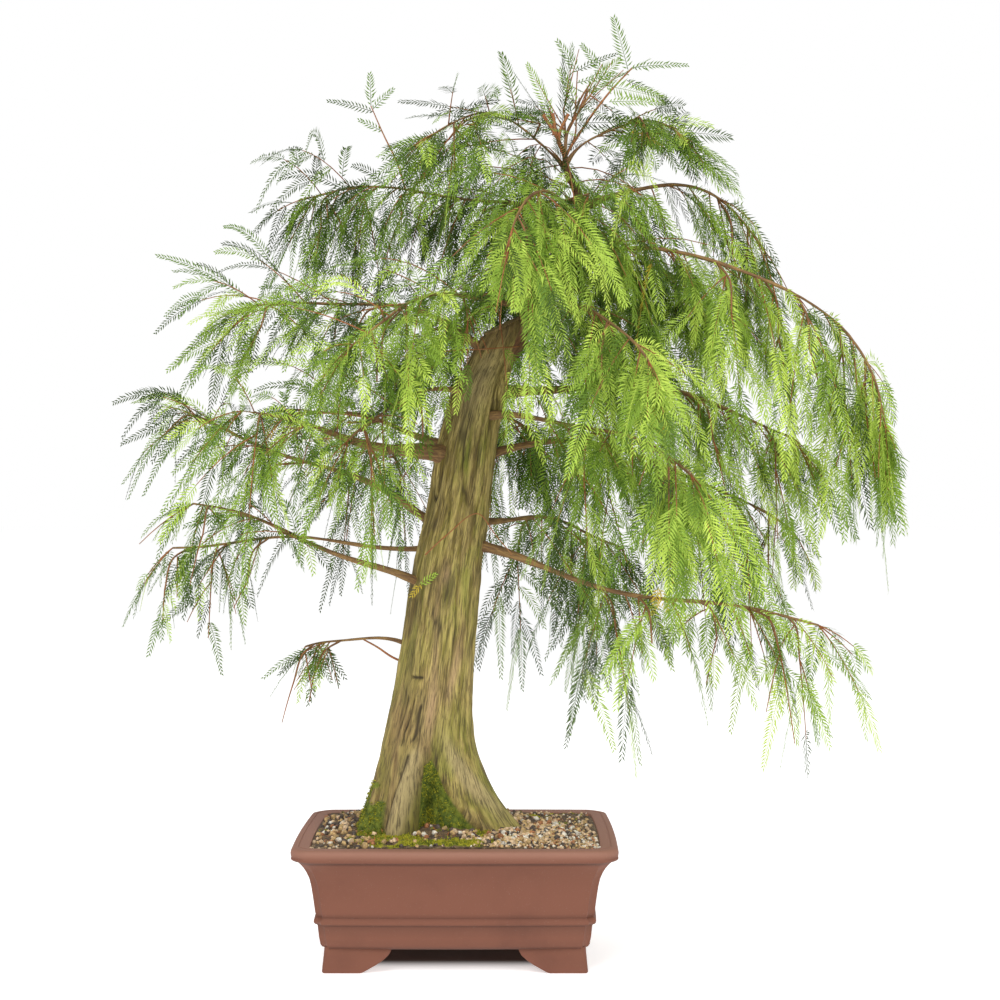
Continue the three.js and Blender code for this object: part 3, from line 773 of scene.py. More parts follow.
def grow_spray(root, along, turn, limb, crown, sprays, random):
    """A spray that leaves a twig: it leans off to one side and hangs by the weep of its mass"""
    for attempt in range(TRIES):
        flat = unit(np.array([along[0], along[1], 0.0]))
        across = np.array([-flat[1], flat[0], 0.0])
        spread = SPRAY_SPREAD + SPRAY_SPREAD_STEP * attempt
        lean = math.radians(turn + spread * (random() - 0.5))
        out = along * math.cos(lean) + across * math.sin(lean)
        hang = limb.weep * random.within(HANG_RANGE) - HANG_LIFT
        direction = unit(out + hang * DOWN)
        normal = facing(unit(outward(root, random.within(FACE_UP))), direction)
        normal = rotated(normal, direction, math.radians(SPRAY_ROLL) * (random() - 0.5))
        size = limb.spray_scale * (1 - SPRAY_SHRINK * attempt) * random.within(SPRAY_SIZE_RANGE)
        spray = SimpleNamespace(
            root=root, along=direction, normal=normal,
            length=SPRAY_LENGTH * size, width=SPRAY_WIDTH * size,
        )
        if clear_of_sprays(spray, sprays) and spray_fits(spray, limb, crown):
            return spray
    return None


def grow_twig(root, along, turn, length, limb, crown, random):
    """A twig that leaves the stem to one side, arches over and hangs"""
    bearing = math.degrees(math.atan2(along[1], along[0])) + turn
    rise = math.degrees(math.asin(along[2])) + TWIG_LIFT * random()
    fall = TWIG_FALL + TWIG_FALL_BY_WEEP * limb.weep
    route = [root]
    for i in range(TWIG_STEPS):
        pitch = max(rise - fall * (i + 0.5) / TWIG_STEPS, STEEPEST)
        point = route[-1] + heading(bearing, pitch) * length / TWIG_STEPS
        if not crown.is_free(point[None], limb, 2 * TWIG_RADII[0]):
            break
        route.append(point)
    return np.array(route) if len(route) > 1 else None


def end_direction(route):
    return unit(route[-1] - route[-2])


def grow_mass(limb, crown):
    """Twigs and sprays of one mass, by the rule of its seed"""
    random = EvenRandom(limb.seed)
    twigs = []
    sprays = []

    def add_spray(root, along, turn):
        spray = grow_spray(root, along, turn, limb, crown, sprays, random)
        if spray:
            sprays.append(spray)

    stem_length = limb.reach - limb.bare
    longest = TWIG_LENGTH + TWIG_LENGTH_BY_WEEP * limb.weep
    count = max(FEWEST_TWIGS, math.floor(stem_length / TWIG_SPACING + 0.5))
    for i in range(count):
        share = (i + random.within(TWIG_STATION)) / count
        ahead = stretch(limb.stem, share * stem_length * LAST_STATION, stem_length)
        root = ahead[0]
        along = unit(ahead[1] - root)
        hand = hand_of(i)
        length = longest * (1 - TWIG_SHORTENING * share) * random.within(TWIG_LENGTH_RANGE)
        turn = hand * random.within(TWIG_TURN)
        twig = grow_twig(root, along, turn, length, limb, crown, random)
        if twig is not None:
            twigs.append(twig)
            ahead = end_direction(twig)
            add_spray(twig[-1], ahead, TIP_TURN * hand)
            add_spray(twig[1] + (twig[0] - twig[1]) * SIDE_AT, ahead, SIDE_TURN * hand)
        else:
            add_spray(root, along, turn)
        if hand < 0:
            add_spray(root, along, STEM_TURN * hand)
    add_spray(limb.stem[-1], end_direction(limb.stem), 0)
    return twigs, sprays


# Tubes

STEEP = 0.7  # how upright a tube may start before its rings are laid from the side


def smooth_route(route, spacing):
    """The route as a curve through its points, with a point at about each spacing"""
    route = np.asarray(route, float)
    gone = distances_along(route)
    count = max(2, int(gone[-1] / spacing) + 1)
    at = np.linspace(0, gone[-1], count)
    slopes = np.gradient(route, gone, axis=0)
    row = np.clip(np.searchsorted(gone, at, side="right") - 1, 0, len(route) - 2)
    step = (gone[row + 1] - gone[row])[:, None]
    t = (at - gone[row])[:, None] / step
    return (route[row] * (2 * t ** 3 - 3 * t ** 2 + 1) + route[row + 1] * (3 * t ** 2 - 2 * t ** 3)
            + slopes[row] * step * (t ** 3 - 2 * t ** 2 + t)
            + slopes[row + 1] * step * (t ** 3 - t ** 2))


def tube_frames(route):
    """Along, side and other side at each point of a route, without twist"""
    along = unit(np.gradient(route, axis=0))
    side = np.array([1.0, 0.0, 0.0]) if abs(along[0, 2]) > STEEP else np.array([0.0, 0.0, 1.0])
    sides = np.empty_like(route)
    for i, direction in enumerate(along):
        side = facing(side, direction)
        sides[i] = side
    return along, sides, np.cross(along, sides)


def tube_faces(rows, sides):
    """Triangles of a tube with its rings in order and a point at each end"""
    row = np.arange(rows - 1)[:, None] * sides
    here = np.arange(sides)[None]
    ahead = (here + 1) % sides
    a, b = row + here, row + ahead
    walls = np.stack([a, b, b + sides, a, b + sides, a + sides], axis=-1).reshape(-1, 3)
    here, ahead, middle = here[0], ahead[0], np.full(sides, rows * sides)
    last = (rows - 1) * sides
    first_cap = np.stack([middle, ahead, here], axis=-1)
    last_cap = np.stack([middle + 1, last + here, last + ahead], axis=-1)
    return np.concatenate([walls, first_cap, last_cap])


def tube(route, radii, sides, relief=None):
    """Points, faces, and the grain and relief values of a closed tube along a route"""
    along, side, other = tube_frames(route)
    angle = np.arange(sides) * 2 * math.pi / sides
    gone = distances_along(route)
    out = (side[:, None] * np.cos(angle)[None, :, None]
           + other[:, None] * np.sin(angle)[None, :, None])
    around = np.stack(np.broadcast_arrays(
        np.cos(angle)[None] * radii[:, None], np.sin(angle)[None] * radii[:, None], gone[:, None],
    ), axis=-1)
    height = np.zeros((len(route), sides))
    if relief:
        height = relief(around.reshape(-1, 3)).reshape(height.shape)
    points = route[:, None] + out * (radii[:, None, None] + height[..., None])
    points = np.concatenate([points.reshape(-1, 3), route[:1], route[-1:]])
    grain = np.concatenate([around.reshape(-1, 3), around[:1, 0], around[-1:, 0]])
    height = np.concatenate([height.ravel(), [0.0, 0.0]])
    return points, tube_faces(len(route), sides), grain, height


# Shader parts

NODE_STEP = (200, 180)
NODES_IN_ROW = 6


def fill(tree, socket, value):
    """Links a socket to another one, or gives it a fixed value"""
    if isinstance(value, bpy.types.NodeSocket):
        tree.links.new(value, socket)
    elif socket.type == "RGBA":
        socket.default_value = (*value[:3], 1.0)
    else:
        socket.default_value = value


def node(tree, kind, *inputs, **named):
    """A shader node. A name with a capital is a socket's, and any other is a setting's."""
    made = tree.nodes.new(kind)
    row, column = divmod(len(tree.nodes), NODES_IN_ROW)
    made.location = (column * NODE_STEP[0], -row * NODE_STEP[1])
    for key, value in named.items():
        if not key[0].isupper():
            setattr(made, key, value)
    for key, value in named.items():
        if key[0].isupper():
            fill(tree, made.inputs[key.replace("_", " ")], value)
    for socket, value in zip(made.inputs, inputs):
        fill(tree, socket, value)
    return made


def mix_colours(tree, share, first, second):
    mix = node(tree, "ShaderNodeMix", data_type="RGBA", Factor=share)
    fill(tree, mix.inputs[6], first)
    fill(tree, mix.inputs[7], second)
    return mix.outputs[2]


def range_of(tree, value, low, high, to_low=0.0, to_high=1.0):
    made = node(tree, "ShaderNodeMapRange", interpolation_type="SMOOTHSTEP", Value=value,
                From_Min=low, From_Max=high, To_Min=to_low, To_Max=to_high)
    return made.outputs["Result"]


def object_point(tree):
    return node(tree, "ShaderNodeTexCoord").outputs["Object"]


def shader_group(name, values, outputs):
    """An empty group with a vector and the named values as inputs: a triple is a colour's"""
    tree = bpy.data.node_groups.new(name, "ShaderNodeTree")
    tree.interface.new_socket("Vector", in_out="INPUT", socket_type="NodeSocketVector")
    for label, value in values.items():
        kind = "NodeSocketColor" if isinstance(value, tuple) else "NodeSocketFloat"
        socket = tree.interface.new_socket(label, in_out="INPUT", socket_type=kind)
        socket.default_value = (*value, 1.0) if isinstance(value, tuple) else value
    for label in outputs:
        kind = "NodeSocketColor" if label == "Color" else "NodeSocketFloat"
        tree.interface.new_socket(label, in_out="OUTPUT", socket_type=kind)
    start = node(tree, "NodeGroupInput")
    end = node(tree, "NodeGroupOutput")
    return tree, start.outputs, end.inputs


def streak_group(name):
    """Noise that is stretched along the grain, from 0 to 1"""
    values = {"Across": 0.3, "Along": 0.02, "Detail": 3.0}
    tree, given, shown = shader_group(name, values, ["Value"])
    scale = node(tree, "ShaderNodeCombineXYZ", given["Across"], given["Across"], given["Along"])
    place = node(tree, "ShaderNodeVectorMath", given["Vector"], scale.outputs[0],
                 operation="MULTIPLY")
    wave = node(tree, "ShaderNodeTexNoise", Vector=place.outputs[0], Detail=given["Detail"],
                Scale=1.0, Roughness=0.6, Distortion=0.4)
    fill(tree, shown["Value"], wave.outputs["Fac"])
    return tree


def mottle_group(name):
    """Patches of two colours"""
    values = {"Scale": 20.0, "Low": 0.35, "High": 0.65, "First": (1, 1, 1), "Second": (1, 1, 1)}
    tree, given, shown = shader_group(name, values, ["Color", "Mask"])
    wave = node(tree, "ShaderNodeTexNoise", Vector=given["Vector"], Scale=given["Scale"],
                Detail=4.0, Roughness=0.6)
    mask = range_of(tree, wave.outputs["Fac"], given["Low"], given["High"])
    fill(tree, shown["Color"], mix_colours(tree, mask, given["First"], given["Second"]))
    fill(tree, shown["Mask"], mask)
    return tree


def speck_group(name):
    """Small specks, as a mask"""
    tree, given, shown = shader_group(name, {"Scale": 400.0, "Size": 0.12}, ["Mask"])
    cells = node(tree, "ShaderNodeTexVoronoi", Vector=given["Vector"], Scale=given["Scale"])
    mask = node(tree, "ShaderNodeMath", cells.outputs["Distance"], given["Size"],
                operation="LESS_THAN")
    fill(tree, shown["Mask"], mask.outputs[0])
    return tree


class Finish:
    """A material in the making, and the colour that its coats have come to so far"""

    def __init__(self, name, colour=None, **sockets):
        self.material = bpy.data.materials.new(name)
        self.material.use_nodes = True
        self.tree = self.material.node_tree
        self.shader = self.tree.nodes["Principled BSDF"]
        self.colour = colour
        for key, value in sockets.items():
            fill(self.tree, self.shader.inputs[key.replace("_", " ")], value)

    def carried(self, name, field="Fac"):
        """A value or vector that the mesh carries"""
        return node(self.tree, "ShaderNodeAttribute", attribute_name=name).outputs[field]

    def group(self, name, build, vector, **inputs):
        """The outputs of a shader group, which is built when it is first placed"""
        shared = bpy.data.node_groups.get(name) or build(name)
        return node(self.tree, "ShaderNodeGroup", node_tree=shared, Vector=vector,
                    **inputs).outputs

    def streaks(self, grain, **inputs):
        return self.group("Grain Streaks", streak_group, grain, **inputs)["Value"]

    def mottle(self, first, second, **inputs):
        point = object_point(self.tree)
        return self.group("Mottle", mottle_group, point, First=first, Second=second, **inputs)

    def specks(self, **inputs):
        return self.group("Specks", speck_group, object_point(self.tree), **inputs)["Mask"]

    def range(self, value, *limits):
        return range_of(self.tree, value, *limits)

    def coat(self, share, colour):
        """Lays a colour over what is there, as far as the share goes"""
        self.colour = mix_colours(self.tree, share, self.colour, colour)

    def fine_grain(self, **inputs):
        vector = object_point(self.tree)
        return node(self.tree, "ShaderNodeTexNoise", Vector=vector, **inputs).outputs["Fac"]

    def finished(self, height=None, strength=0.0, distance=0.0):
        """The material, with its colour and any relief of its surface"""
        fill(self.tree, self.shader.inputs["Base Color"], self.colour)
        if height is not None:
            bump = node(self.tree, "ShaderNodeBump", Strength=strength, Distance=distance,
                        Height=height)
            fill(self.tree, self.shader.inputs["Normal"], bump.outputs["Normal"])
        return self.material


def mottled_material(name, scale, first, second, roughness, relief=0.0):
    finish = Finish(name, Roughness=roughness)
    patches = finish.mottle(first, second, Scale=scale)
    finish.colour = patches["Color"]
    return finish.finished(patches["Mask"] if relief else None, relief, 0.0006)


# Settings

def colour_setting(name, description, default):
    return bpy.props.FloatVectorProperty(
        name=name, description=description, subtype="COLOR", size=3, min=0, max=1, default=default,
    )


def length_setting(name, description, default):
    return bpy.props.FloatProperty(
        name=name, description=description, min=0, default=default * MM, unit="LENGTH",
        precision=4,
    )


def share_setting(name, description, default):
    return bpy.props.FloatProperty(
        name=name, description=description, min=0, max=1, default=default, subtype="FACTOR",
    )


class BonsaiPotSettings(bpy.types.PropertyGroup):
    clay: colour_setting("Clay", "Unglazed clay of the pot's body", (0.19, 0.066, 0.036))
    dusk: colour_setting("Dark clay", "Darker patches of the clay", (0.14, 0.046, 0.025))
    lip: colour_setting("Lip", "Greyer clay on top of the rim", (0.29, 0.135, 0.09))
    grit: share_setting("Grit", "Size of the pale specks in the clay", 0.07)


class BonsaiBarkSettings(bpy.types.PropertyGroup):
    ridge: colour_setting("Ridge", "Pale tan of the bark's strips", (0.66, 0.5, 0.17))
    fibre: colour_setting("Fibre", "Olive brown of the bark between them", (0.22, 0.155, 0.035))
    furrow: colour_setting("Furrow", "Dark brown deep in the bark", (0.05, 0.036, 0.018))
    olive: colour_setting("Olive", "Green film on the bark", (0.24, 0.26, 0.03))
    bare: colour_setting("Bare", "Pink tan where the bark has peeled", (0.5, 0.33, 0.17))
    worn: colour_setting("Worn", "Smooth bark of the roots", (0.5, 0.39, 0.19))
    plate: colour_setting("Plate", "Brown of the cracked plates low down", (0.3, 0.19, 0.08))
    limb: colour_setting("Limb", "Brown bark of the boughs", (0.17, 0.085, 0.035))
    twig: colour_setting("Twig", "Orange tan of the twigs", (0.4, 0.18, 0.065))
    shoot: colour_setting("Shoot", "Red brown of young shoots", (0.4, 0.13, 0.04))


class BonsaiSoilSettings(bpy.types.PropertyGroup):
    earth: colour_setting("Earth", "Dark moist soil", (0.07, 0.045, 0.026))
    moss: colour_setting("Moss", "Bright moss", (0.36, 0.34, 0.02))
    deep_moss: colour_setting("Deep moss", "Moss in the shade", (0.12, 0.15, 0.01))
    stones: bpy.props.IntProperty(
        name="Stones", description="Stones on the soil", min=0, default=2700)
    tufts: bpy.props.IntProperty(
        name="Tufts", description="Tufts of moss on the soil and the roots", min=0, default=6500)


class BonsaiFoliageSettings(bpy.types.PropertyGroup):
    needle: length_setting("Needle", "Length of the longest needles", 18)
    needle_width: length_setting("Needle width", "Width of a needle", 1.7)
    needle_step: length_setting("Needle step", "Distance between the needles of one side", 3.8)
    # The tints from lime to shade are partly the needles' own colours and partly painted light and
    # shade: a feather gets its tint by where it stands in the crown
    lime: colour_setting("Lime", "Youngest needles", (0.52, 0.68, 0.1))
    bright: colour_setting("Bright", "Young needles", (0.38, 0.54, 0.07))
    leaf: colour_setting("Leaf", "Grown needles", (0.215, 0.345, 0.035))
    deep: colour_setting("Deep", "Needles within the crown", (0.11, 0.2, 0.02))
    shade: colour_setting("Shade", "Oldest needles", (0.045, 0.085, 0.01))
    gold: colour_setting("Gold", "Turning needles", (0.62, 0.46, 0.05))


class BonsaiStageSettings(bpy.types.PropertyGroup):
    floor: colour_setting("Floor", "Colour of the floor", (0.9, 0.9, 0.9))
    lens: bpy.props.FloatProperty(
        name="Lens", description="Focal length in millimetres", min=10, default=64.9)
    distance: length_setting("Distance", "From the camera to the trunk", CAMERA_AWAY)
    light: bpy.props.FloatProperty(
        name="Light", description="Power of the main soft light", min=0, default=52, unit="POWER")
    ambient: share_setting("Ambient", "Strength of the light from all round", 0.5)
    glow: share_setting("Glow", "How far the floor lights itself, as a lit backdrop does", 0.55)


# Stage

SENSOR = 36
FLOOR_SIZE = 60
# The floor under the pot is a painted shadow: between these edges its glow sets in and its colour
# turns from dark to the floor's own
SHADE_OF_POT = (-0.095, -0.06)  # metres from the pot's rim between which the floor's glow sets in
# Dark colour of the painted shadow on the floor under the pot
SHADED_FLOOR = (0.25, 0.22, 0.2)
SOFTBOXES = (
    # name, place in metres from the pot, side, share of the main light's power
    ("key", (-0.9, -2.0, 2.5), 1.6, 1.0),
    ("fill", (1.9, -1.7, 1.5), 1.6, 0.4),
    ("back", (0.4, 2.2, 2.3), 1.8, 0.3),
)
LIGHTS_AIM = (0.05, 0.0, 0.55)


class BONSAI_OT_stage(bpy.types.Operator):
    """Add the floor, the soft lights and the camera at the photograph's viewing angle"""
    bl_idname = "bonsai.stage"
    bl_label = "Stage"

    def execute(self, context):
        settings = context.scene.bonsai_stage
        self.add_floor(settings)
        for name, place, side, share in SOFTBOXES:
            self.add_light(name, place, side, settings.light * share)
        self.add_world(context.scene, settings)
        self.add_camera(context.scene, settings)
        return {"FINISHED"}

    def add_floor(self, settings):
        clear_selection()
        bpy.ops.mesh.primitive_plane_add(size=FLOOR_SIZE, location=Vector(POT_MIDDLE))
        floor = name_piece(bpy.context.object, "floor")
        finish = Finish("floor", Roughness=0.9, Emission_Color=(1, 1, 1))
        tree = finish.tree
        # Painted shadow under the pot: within its outline the floor neither glows nor keeps its
        # pale colour
        near = node(tree, "ShaderNodeVectorMath", object_point(tree), operation="ABSOLUTE")
        pot_size = (POT_HALF_LENGTH * MM, POT_HALF_DEPTH * MM, 0)
        beyond = node(tree, "ShaderNodeVectorMath", near.outputs[0], pot_size,
                      operation="SUBTRACT")
        split = node(tree, "ShaderNodeSeparateXYZ", beyond.outputs[0])
        further = node(tree, "ShaderNodeMath", split.outputs["X"], split.outputs["Y"],
                       operation="MAXIMUM").outputs[0]
        fill(tree, finish.shader.inputs["Emission Strength"],
             finish.range(further, *SHADE_OF_POT, 0.0, settings.glow))
        finish.colour = SHADED_FLOOR
        finish.coat(finish.range(further, *SHADE_OF_POT), settings.floor)
        floor.data.materials.append(finish.finished())

    def add_light(self, name, place, side, power):
        place = Vector(POT_MIDDLE) + Vector(place)
        bpy.ops.object.light_add(type="AREA", location=place)
        light = bpy.context.object
        light.name = name + "_light"
        light.data.energy = power
        light.data.size = side
        aim = Vector(POT_MIDDLE) + Vector(LIGHTS_AIM) - place
        light.rotation_euler = aim.to_track_quat("-Z", "Y").to_euler()

    def add_world(self, scene, settings):
        world = bpy.data.worlds.new("studio")
        world.use_nodes = True
        tree = world.node_tree
        seen = node(tree, "ShaderNodeLightPath").outputs["Is Camera Ray"]
        strength = node(tree, "ShaderNodeMapRange", Value=seen, To_Min=settings.ambient,
                        To_Max=1.0)
        background = tree.nodes["Background"].inputs
        fill(tree, background["Color"], (1, 1, 1))
        fill(tree, background["Strength"], strength.outputs["Result"])
        scene.world = world
        scene.view_settings.view_transform = "Standard"

    def add_camera(self, scene, settings):
        place = Vector((CAMERA_ACROSS * MM, -settings.distance, CAMERA_HEIGHT * MM))
        bpy.ops.object.camera_add(location=Vector(POT_MIDDLE) + place, rotation=(math.pi / 2, 0, 0))
        camera = bpy.context.object
        camera.name = "camera"
        camera.data.sensor_width = SENSOR
        camera.data.lens = settings.lens
        scene.camera = camera


# Pot

# Colour of the painted shade in the lines under the rim, by the bead and low on the wall
GROOVE_SHADE_COLOUR = (0.05, 0.02, 0.013)
PALE_GRIT = (0.36, 0.25, 0.19)


def ring_size(inset):
    """Half length and half depth of the straight-sided rectangle inside a bowed ring"""
    return POT_HALF_LENGTH - inset - SIDE_BOW, POT_HALF_DEPTH - inset - SIDE_BOW


def add_ring(piece, height, inset, corner):
    """Adds one closed loop of edges: a rectangle with shaped corners and bowed sides"""
    size, profile = corner
    half_length, half_depth = ring_size(inset)
    start = len(bmesh.from_edit_mesh(piece.data).verts)
    middle = to_frame((0, 0, height))
    bpy.ops.mesh.select_all(action="DESELECT")
    bpy.ops.mesh.primitive_plane_add(size=2, location=middle)
    bpy.ops.transform.resize(value=(half_length * MM, half_depth * MM, 1), center_override=middle)
    bpy.ops.mesh.bevel(offset=size * MM, segments=CORNER_SEGMENTS, profile=profile,
                       affect="VERTICES")
    longest = 4 * size * MM
    select_where(piece, "edges", lambda edge: edge.verts[0].index >= start
                 and edge.calc_length() > longest)
    bpy.ops.mesh.subdivide(number_cuts=SIDE_CUTS)
    mesh = bmesh.from_edit_mesh(piece.data)
    mesh.verts.index_update()
    for vert in mesh.verts:
        if vert.index < start:
            continue
        u = (vert.co.x - middle[0]) / MM / half_length
        v = (vert.co.y - middle[1]) / MM / half_depth
        vert.co.x += bow(u, v) * MM
        vert.co.y += bow(v, u) * MM
        vert.select = True
    mesh.select_flush(True)
    bmesh.update_edit_mesh(piece.data)
    bpy.ops.mesh.delete(type="ONLY_FACE")
    return start, len(bmesh.from_edit_mesh(piece.data).verts)


def bow(out, beside):
    """How far a side bows out, at shares of the half sizes: towards it, and along it"""
    out, beside = np.clip(out, -1, 1), np.clip(beside, -1, 1)
    return np.copysign(SIDE_BOW, out) * (1 - beside ** 2) * out ** 4


def select_rings(piece, rings):
    select_where(piece, "edges", lambda edge: any(
        all(low <= vert.index < high for vert in edge.verts) for low, high in rings))


def pot_shell():
    """The pot's wall, rim and floor, bridged from ring to ring"""
    clear_selection()
    bpy.ops.mesh.primitive_plane_add(size=0.01, location=(0, 0, 0))
    pot = bpy.context.object
    edit(pot, "SELECT")
    bpy.ops.mesh.delete(type="VERT")
    rings = [add_ring(pot, *ring) for ring in POT_RINGS]
    for pair in zip(rings[:-1], rings[1:]):
        select_rings(pot, pair)
        bpy.ops.mesh.bridge_edge_loops()
    for ring in (rings[0], rings[-1]):
        select_rings(pot, [ring])
        bpy.ops.mesh.edge_face_add()
    close_edit()
    return pot


def foot_corner(height):
    """Outer corner and size of a foot's section at a height, from the middle of the pot"""
    share = min(height / UNDERSIDE, 1)
    grown = FOOT_SOLE + (1 - FOOT_SOLE) * math.sin(share * math.pi / 2)
    soft = FOOT_SOFTNESS if height == 0 else 0
    flare = FOOT_FLARE * (1 - share) - soft
    corner = (POT_HALF_LENGTH - FOOT_INSET + flare, POT_HALF_DEPTH - FOOT_INSET + flare)
    return corner, (FOOT_LENGTH * grown - 2 * soft, FOOT_DEPTH * grown - 2 * soft)


def foot(sx, sy):
    """One foot, extruded down from its top and drawn in towards its outer corner"""
    clear_selection()
    corner, size = foot_corner(FOOT_TOP)
    middle = to_frame((sx * (corner[0] - size[0] / 2), sy * (corner[1] - size[1] / 2), FOOT_TOP))
    bpy.ops.mesh.primitive_plane_add(size=1, location=middle)
    piece = bpy.context.object
    edit(piece, "SELECT")
    bpy.ops.transform.resize(value=(size[0] * MM, size[1] * MM, 1), center_override=middle)
    select_where(piece, "verts", lambda vert: sx * vert.co.x > 0 and sy * vert.co.y > 0)
    bpy.ops.mesh.bevel(offset=FOOT_CHAMFER * MM, segments=3, affect="VERTICES")
    bpy.ops.mesh.select_all(action="SELECT")
    height = FOOT_TOP
    for level in FOOT_LEVELS:
        new_corner, new_size = foot_corner(level)
        move = (sx * (new_corner[0] - corner[0]) * MM, sy * (new_corner[1] - corner[1]) * MM,
                (level - height) * MM)
        bpy.ops.mesh.extrude_region_move(TRANSFORM_OT_translate={"value": move})
        anchor = to_frame((sx * new_corner[0], sy * new_corner[1], level))
        scale = (new_size[0] / size[0], new_size[1] / size[1], 1)
        bpy.ops.transform.resize(value=scale, center_override=anchor)
        corner, size, height = new_corner, new_size, level
    close_edit()
    return piece


def painted_groove_shade(points):
    """How far painted shade darkens the clay: under the rim, on both sides of the bead and low on
    the wall
    """
    x, y, height = points.T
    inside = np.minimum(POT_HALF_LENGTH - np.abs(x), POT_HALF_DEPTH - np.abs(y))
    lines = np.zeros(len(points))
    for middle, spread, strength in GROOVE_SHADE_LINES:
        lines = np.maximum(lines, strength * bell(height, middle, spread))
    return lines * (inside < WALL_INSET)


def clay_material(settings):
    clay = Finish("clay", Roughness=0.72)
    clay.colour = clay.mottle(settings.clay, settings.dusk, Scale=16.0, Low=0.45,
                              High=0.95)["Color"]
    height = node(clay.tree, "ShaderNodeSeparateXYZ", object_point(clay.tree)).outputs["Z"]
    clay.coat(clay.range(height, LIP_LOW * MM, LIP_HIGH * MM), settings.lip)
    # Painted shade along the lines under the rim, by the bead and low on the wall
    clay.coat(clay.carried("groove"), GROOVE_SHADE_COLOUR)
    clay.coat(clay.specks(Scale=420.0, Size=settings.grit), PALE_GRIT)
    return clay.finished(clay.fine_grain(Scale=900.0, Detail=4.0, Roughness=0.7), 0.25, 0.0006)


class BONSAI_OT_pot(bpy.types.Operator):
    """Model the rectangular clay pot with its rim, bead, scooped corners and four feet"""
    bl_idname = "bonsai.pot"
    bl_label = "Pot"

    def execute(self, context):
        pot = name_piece(pot_shell(), "clay_pot")
        settle(pot)
        for sx, sy in ((1, 1), (-1, 1), (-1, -1), (1, -1)):
            apply_boolean(pot, foot(sx, sy), "UNION")
        for side in (-1, 1):
            clear_selection()
            bpy.ops.mesh.primitive_cylinder_add(
                vertices=DRAIN_SIDES, radius=DRAIN_RADIUS * MM, depth=DRAIN_DEPTH * MM,
                location=to_frame((side * DRAIN_SPACING / 2, 0, DRAIN_MIDDLE)))
            apply_boolean(pot, bpy.context.object, "DIFFERENCE")
        store_values(pot, {"groove": painted_groove_shade(read_points(pot))})
        smooth_to(pot, 38)
        dress(pot, clay_material(context.scene.bonsai_pot), ["pot"])
        return {"FINISHED"}


# Soil

PALE_EARTH = (0.24, 0.16, 0.085)
EARTH_GRIT = (0.3, 0.2, 0.11)
SOIL_LUMPS = ((9, 1.3, 3), (3.4, 0.9, 4), (1.5, 0.4, 5))  # cell, height, seed
# Mossy places: strength, middle and spread across, middle and spread in depth
MOSS_PATCHES = (
    (1, -34, 38, -101, 8),
    (0.9, -6, 20, -99, 7),
    (0.8, -92, 24, -48, 18),
)
MOSS_ROUND_TRUNK = (-20, -12, 72, 9)  # middle, radius and spread of a ring of moss
MOSS_RISE = 1.2


def heap(x, y, shape):
    rise, middle_x, middle_y, spread = shape
    return rise * np.exp(-((x - middle_x) ** 2 + (y - middle_y) ** 2) / (2 * spread ** 2))


def soil_height(x, y):
    return SOIL_AT_WALL + heap(x, y, MOUND) + heap(x, y, BANK)


def soil_relief(x, y):
    """Lumps of earth, in millimetres"""
    lumps = sum(rise * flat_noise(x, y, cell, seed) for cell, rise, seed in SOIL_LUMPS)
    return lumps * within_one(edge_distance(x, y) / 8)


def edge_distance(x, y):
    """Distance in from the soil's edge at the wall"""
    half_length, half_depth = POT_HALF_LENGTH - SOIL_INSET, POT_HALF_DEPTH - SOIL_INSET
    return np.minimum(half_length - np.abs(x), half_depth - np.abs(y))


def soil_places(random, count):
    """Even random places within the wall of the pot"""
    half_length, half_depth = ring_size(SOIL_INSET)
    x = random.uniform(-half_length, half_length, count)
    y = random.uniform(-half_depth, half_depth, count)
    return x, y


def moss_on_soil(x, y):
    """How mossy the soil is, from 0 to 1: along the front, round the trunk and on the bank"""
    mossy = sum(strength * bell(x, across, wide) * bell(y, deep, long)
                for strength, across, wide, deep, long in MOSS_PATCHES)
    middle_x, middle_y, radius, spread = MOSS_ROUND_TRUNK
    ring = 0.7 * bell(np.hypot(x - middle_x, y - middle_y), radius, spread) * (x < 40)
    ragged = 0.5 * flat_noise(x, y, 24, 8) + 0.45 * flat_noise(x, y, 7, 9)
    return within_one(mossy + ring + ragged - 0.12)


def soil_material(settings):
    soil = Finish("soil", Roughness=0.9)
    soil.colour = soil.mottle(settings.earth, PALE_EARTH, Scale=160.0, Low=0.4,
                              High=0.7)["Color"]
    soil.coat(soil.specks(Scale=330.0, Size=0.22), EARTH_GRIT)
    green = soil.mottle(settings.moss, settings.deep_moss, Scale=120.0)["Color"]
    soil.coat(soil.range(soil.carried("moss"), 0.35, 0.6), green)
    return soil.finished(soil.fine_grain(Scale=700.0, Detail=5.0), 0.8, 0.001)


